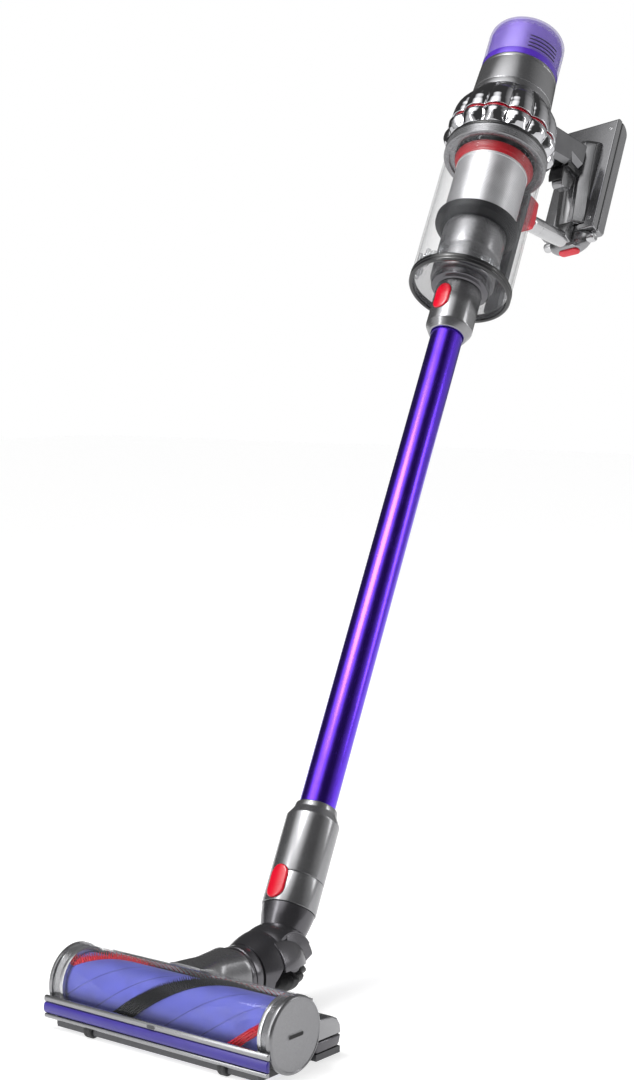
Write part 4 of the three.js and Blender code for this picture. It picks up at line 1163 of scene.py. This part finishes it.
hull_low, hull_high = reach("battery_latch_housing")
hull = [boat(15, 5, 158, hull_low.z + 0.2), boat(19, 7.5, 158, hull_low.z + 1),
        boat(23.5, 9.4, 157.5, hull_low.z + 4), boat(26.6, 11, 157, hull_low.z + 8.5),
        boat(28, 11.6, 157, hull_low.z + 13), boat(28.2, 11.7, 157, hull_high.z)]
made("latch_housing_lofted", lofted(hull, 0.4, 2), machine, "battery", silver,
     ["battery_latch_housing"], sharp=40)
stud_side = [(0, 24), (5.4, 24), (5.4, 31.8), (4.6, 33.2), (2.6, 33.4), (2.2, 32.6), (0, 32.6)]
for side, name in sides:
    stud_axes = machine @ Matrix.Translation((0, 156, 933.5)) @ Matrix.Rotation(side * pi / 2, 4, "Y")
    stud = turned(eased(stud_side, 0.4, False), 40)
    made("latch_stud_" + name, stud, stud_axes, "battery", bright_lacquer)
button_low, button_high = reach("battery_release_button")
middle = (button_low.y + button_high.y) / 2
outline = [(x, y + middle) for y, x in slot_outline(5.1, 13.2, 0)]
made("battery_button_pad", drawn(outline, button_low.z, button_high.z, 1.0, "z"), machine, "battery_button",
     red_gloss, ["battery_release_button"])
screw_side = [(0, -0.4), (2.6, -0.4), (2.6, 0.15), (2, 0.5), (1, 0.5), (0.8, 0), (0, 0)]
for x in (-27, 27):
    for z in (base + 14, tip - 16):
        screw_axes = machine @ Matrix.Translation((x, near, z)) @ Matrix.Rotation(pi / 2, 4, "X")
        screw = turned(eased(screw_side, 0.15, False), 24)
        made("pack_screw_%d_%d" % (x + 27, z), screw, screw_axes, "battery", steel)

# ---- stage --------------------------------------------------------------------------------------
# Pale floor, soft light from above and from the left with a weak one behind to the right, a dim
# room with three bright patches for the lacquer to reflect, and the camera.

floor = bpy.data.meshes.new("floor")
sheet = bmesh.new()
bmesh.ops.create_grid(sheet, x_segments=1, y_segments=1, size=9)
sheet.to_mesh(floor)
sheet.free()
floor_piece = bpy.data.objects.new("floor", floor)
bpy.context.collection.objects.link(floor_piece)
pale = bpy.data.materials.new("pale_floor")
pale.use_nodes = True
for socket, value in (("Base Color", (0.5, 0.5, 0.5, 1)), ("Roughness", 0.6),
                      ("Emission Color", (1, 1, 1, 1)), ("Emission Strength", 0.72)):
    pale.node_tree.nodes["Principled BSDF"].inputs[socket].default_value = value
floor.materials.append(pale)


def lamp(name, at, target, wide, high, watts):
    """Soft box of light aimed at a point."""
    light = bpy.data.lights.new(name, "AREA")
    light.shape = "RECTANGLE"
    light.size, light.size_y, light.energy = wide, high, watts
    holder = bpy.data.objects.new(name, light)
    holder.location = at
    holder.rotation_euler = (Vector(target) - Vector(at)).to_track_quat("-Z", "Y").to_euler()
    bpy.context.collection.objects.link(holder)


lamp("key_soft_box", (-0.42, -0.75, 2.4), (0, 0.25, 0.45), 0.9, 0.9, 34)
lamp("left_soft_box", (-0.75, -1.6, 0.9), (-0.08, 0.2, 0.4), 0.4, 1.6, 9)
lamp("right_edge_box", (1.5, 1.5, 1.0), (0, 0.4, 0.6), 0.3, 1.2, 6)

world = bpy.data.worlds.new("studio")
bpy.context.scene.world = world
world.use_nodes = True
tree = world.node_tree
tree.nodes.clear()
way = fed(tree, "ShaderNodeTexCoord").outputs["Generated"]
glow = None
for centre, start, strength in (((-0.19, -0.44, 0.875), 0.8, 2.7), ((-0.45, -0.89, 0.05), 0.7, 0.9),
                                ((0.6, 0.78, 0.15), 0.6, 0.55)):
    toward = fed(tree, "ShaderNodeVectorMath", way, centre, operation="DOT_PRODUCT").outputs["Value"]
    part = fed(tree, "ShaderNodeMapRange", toward, start, 1.0, 0.0, strength).outputs[0]
    glow = calc(tree, "ADD", 0.06 if glow is None else glow, part)
seen = fed(tree, "ShaderNodeBackground", (1, 1, 1, 1), 1.0)
felt = fed(tree, "ShaderNodeBackground", (1, 1, 1, 1))
tree.links.new(glow, felt.inputs["Strength"])
choice = fed(tree, "ShaderNodeMixShader", fed(tree, "ShaderNodeLightPath").outputs["Is Camera Ray"])
tree.links.new(felt.outputs[0], choice.inputs[1])
tree.links.new(seen.outputs[0], choice.inputs[2])
out = tree.nodes.new("ShaderNodeOutputWorld")
tree.links.new(choice.outputs[0], out.inputs["Surface"])

eye = bpy.data.cameras.new("camera")
eye.lens = 70.39
eye.sensor_width = 36
eye_piece = bpy.data.objects.new("camera", eye)
eye_piece.location = (1.16092, -1.31550, 0.58118)
eye_piece.rotation_euler = (radians(84.84), 0, radians(38.52))
bpy.context.collection.objects.link(eye_piece)
bpy.context.scene.camera = eye_piece
bpy.context.scene.view_settings.view_transform = "Standard"
bpy.context.scene.cycles.transparent_max_bounces = 24
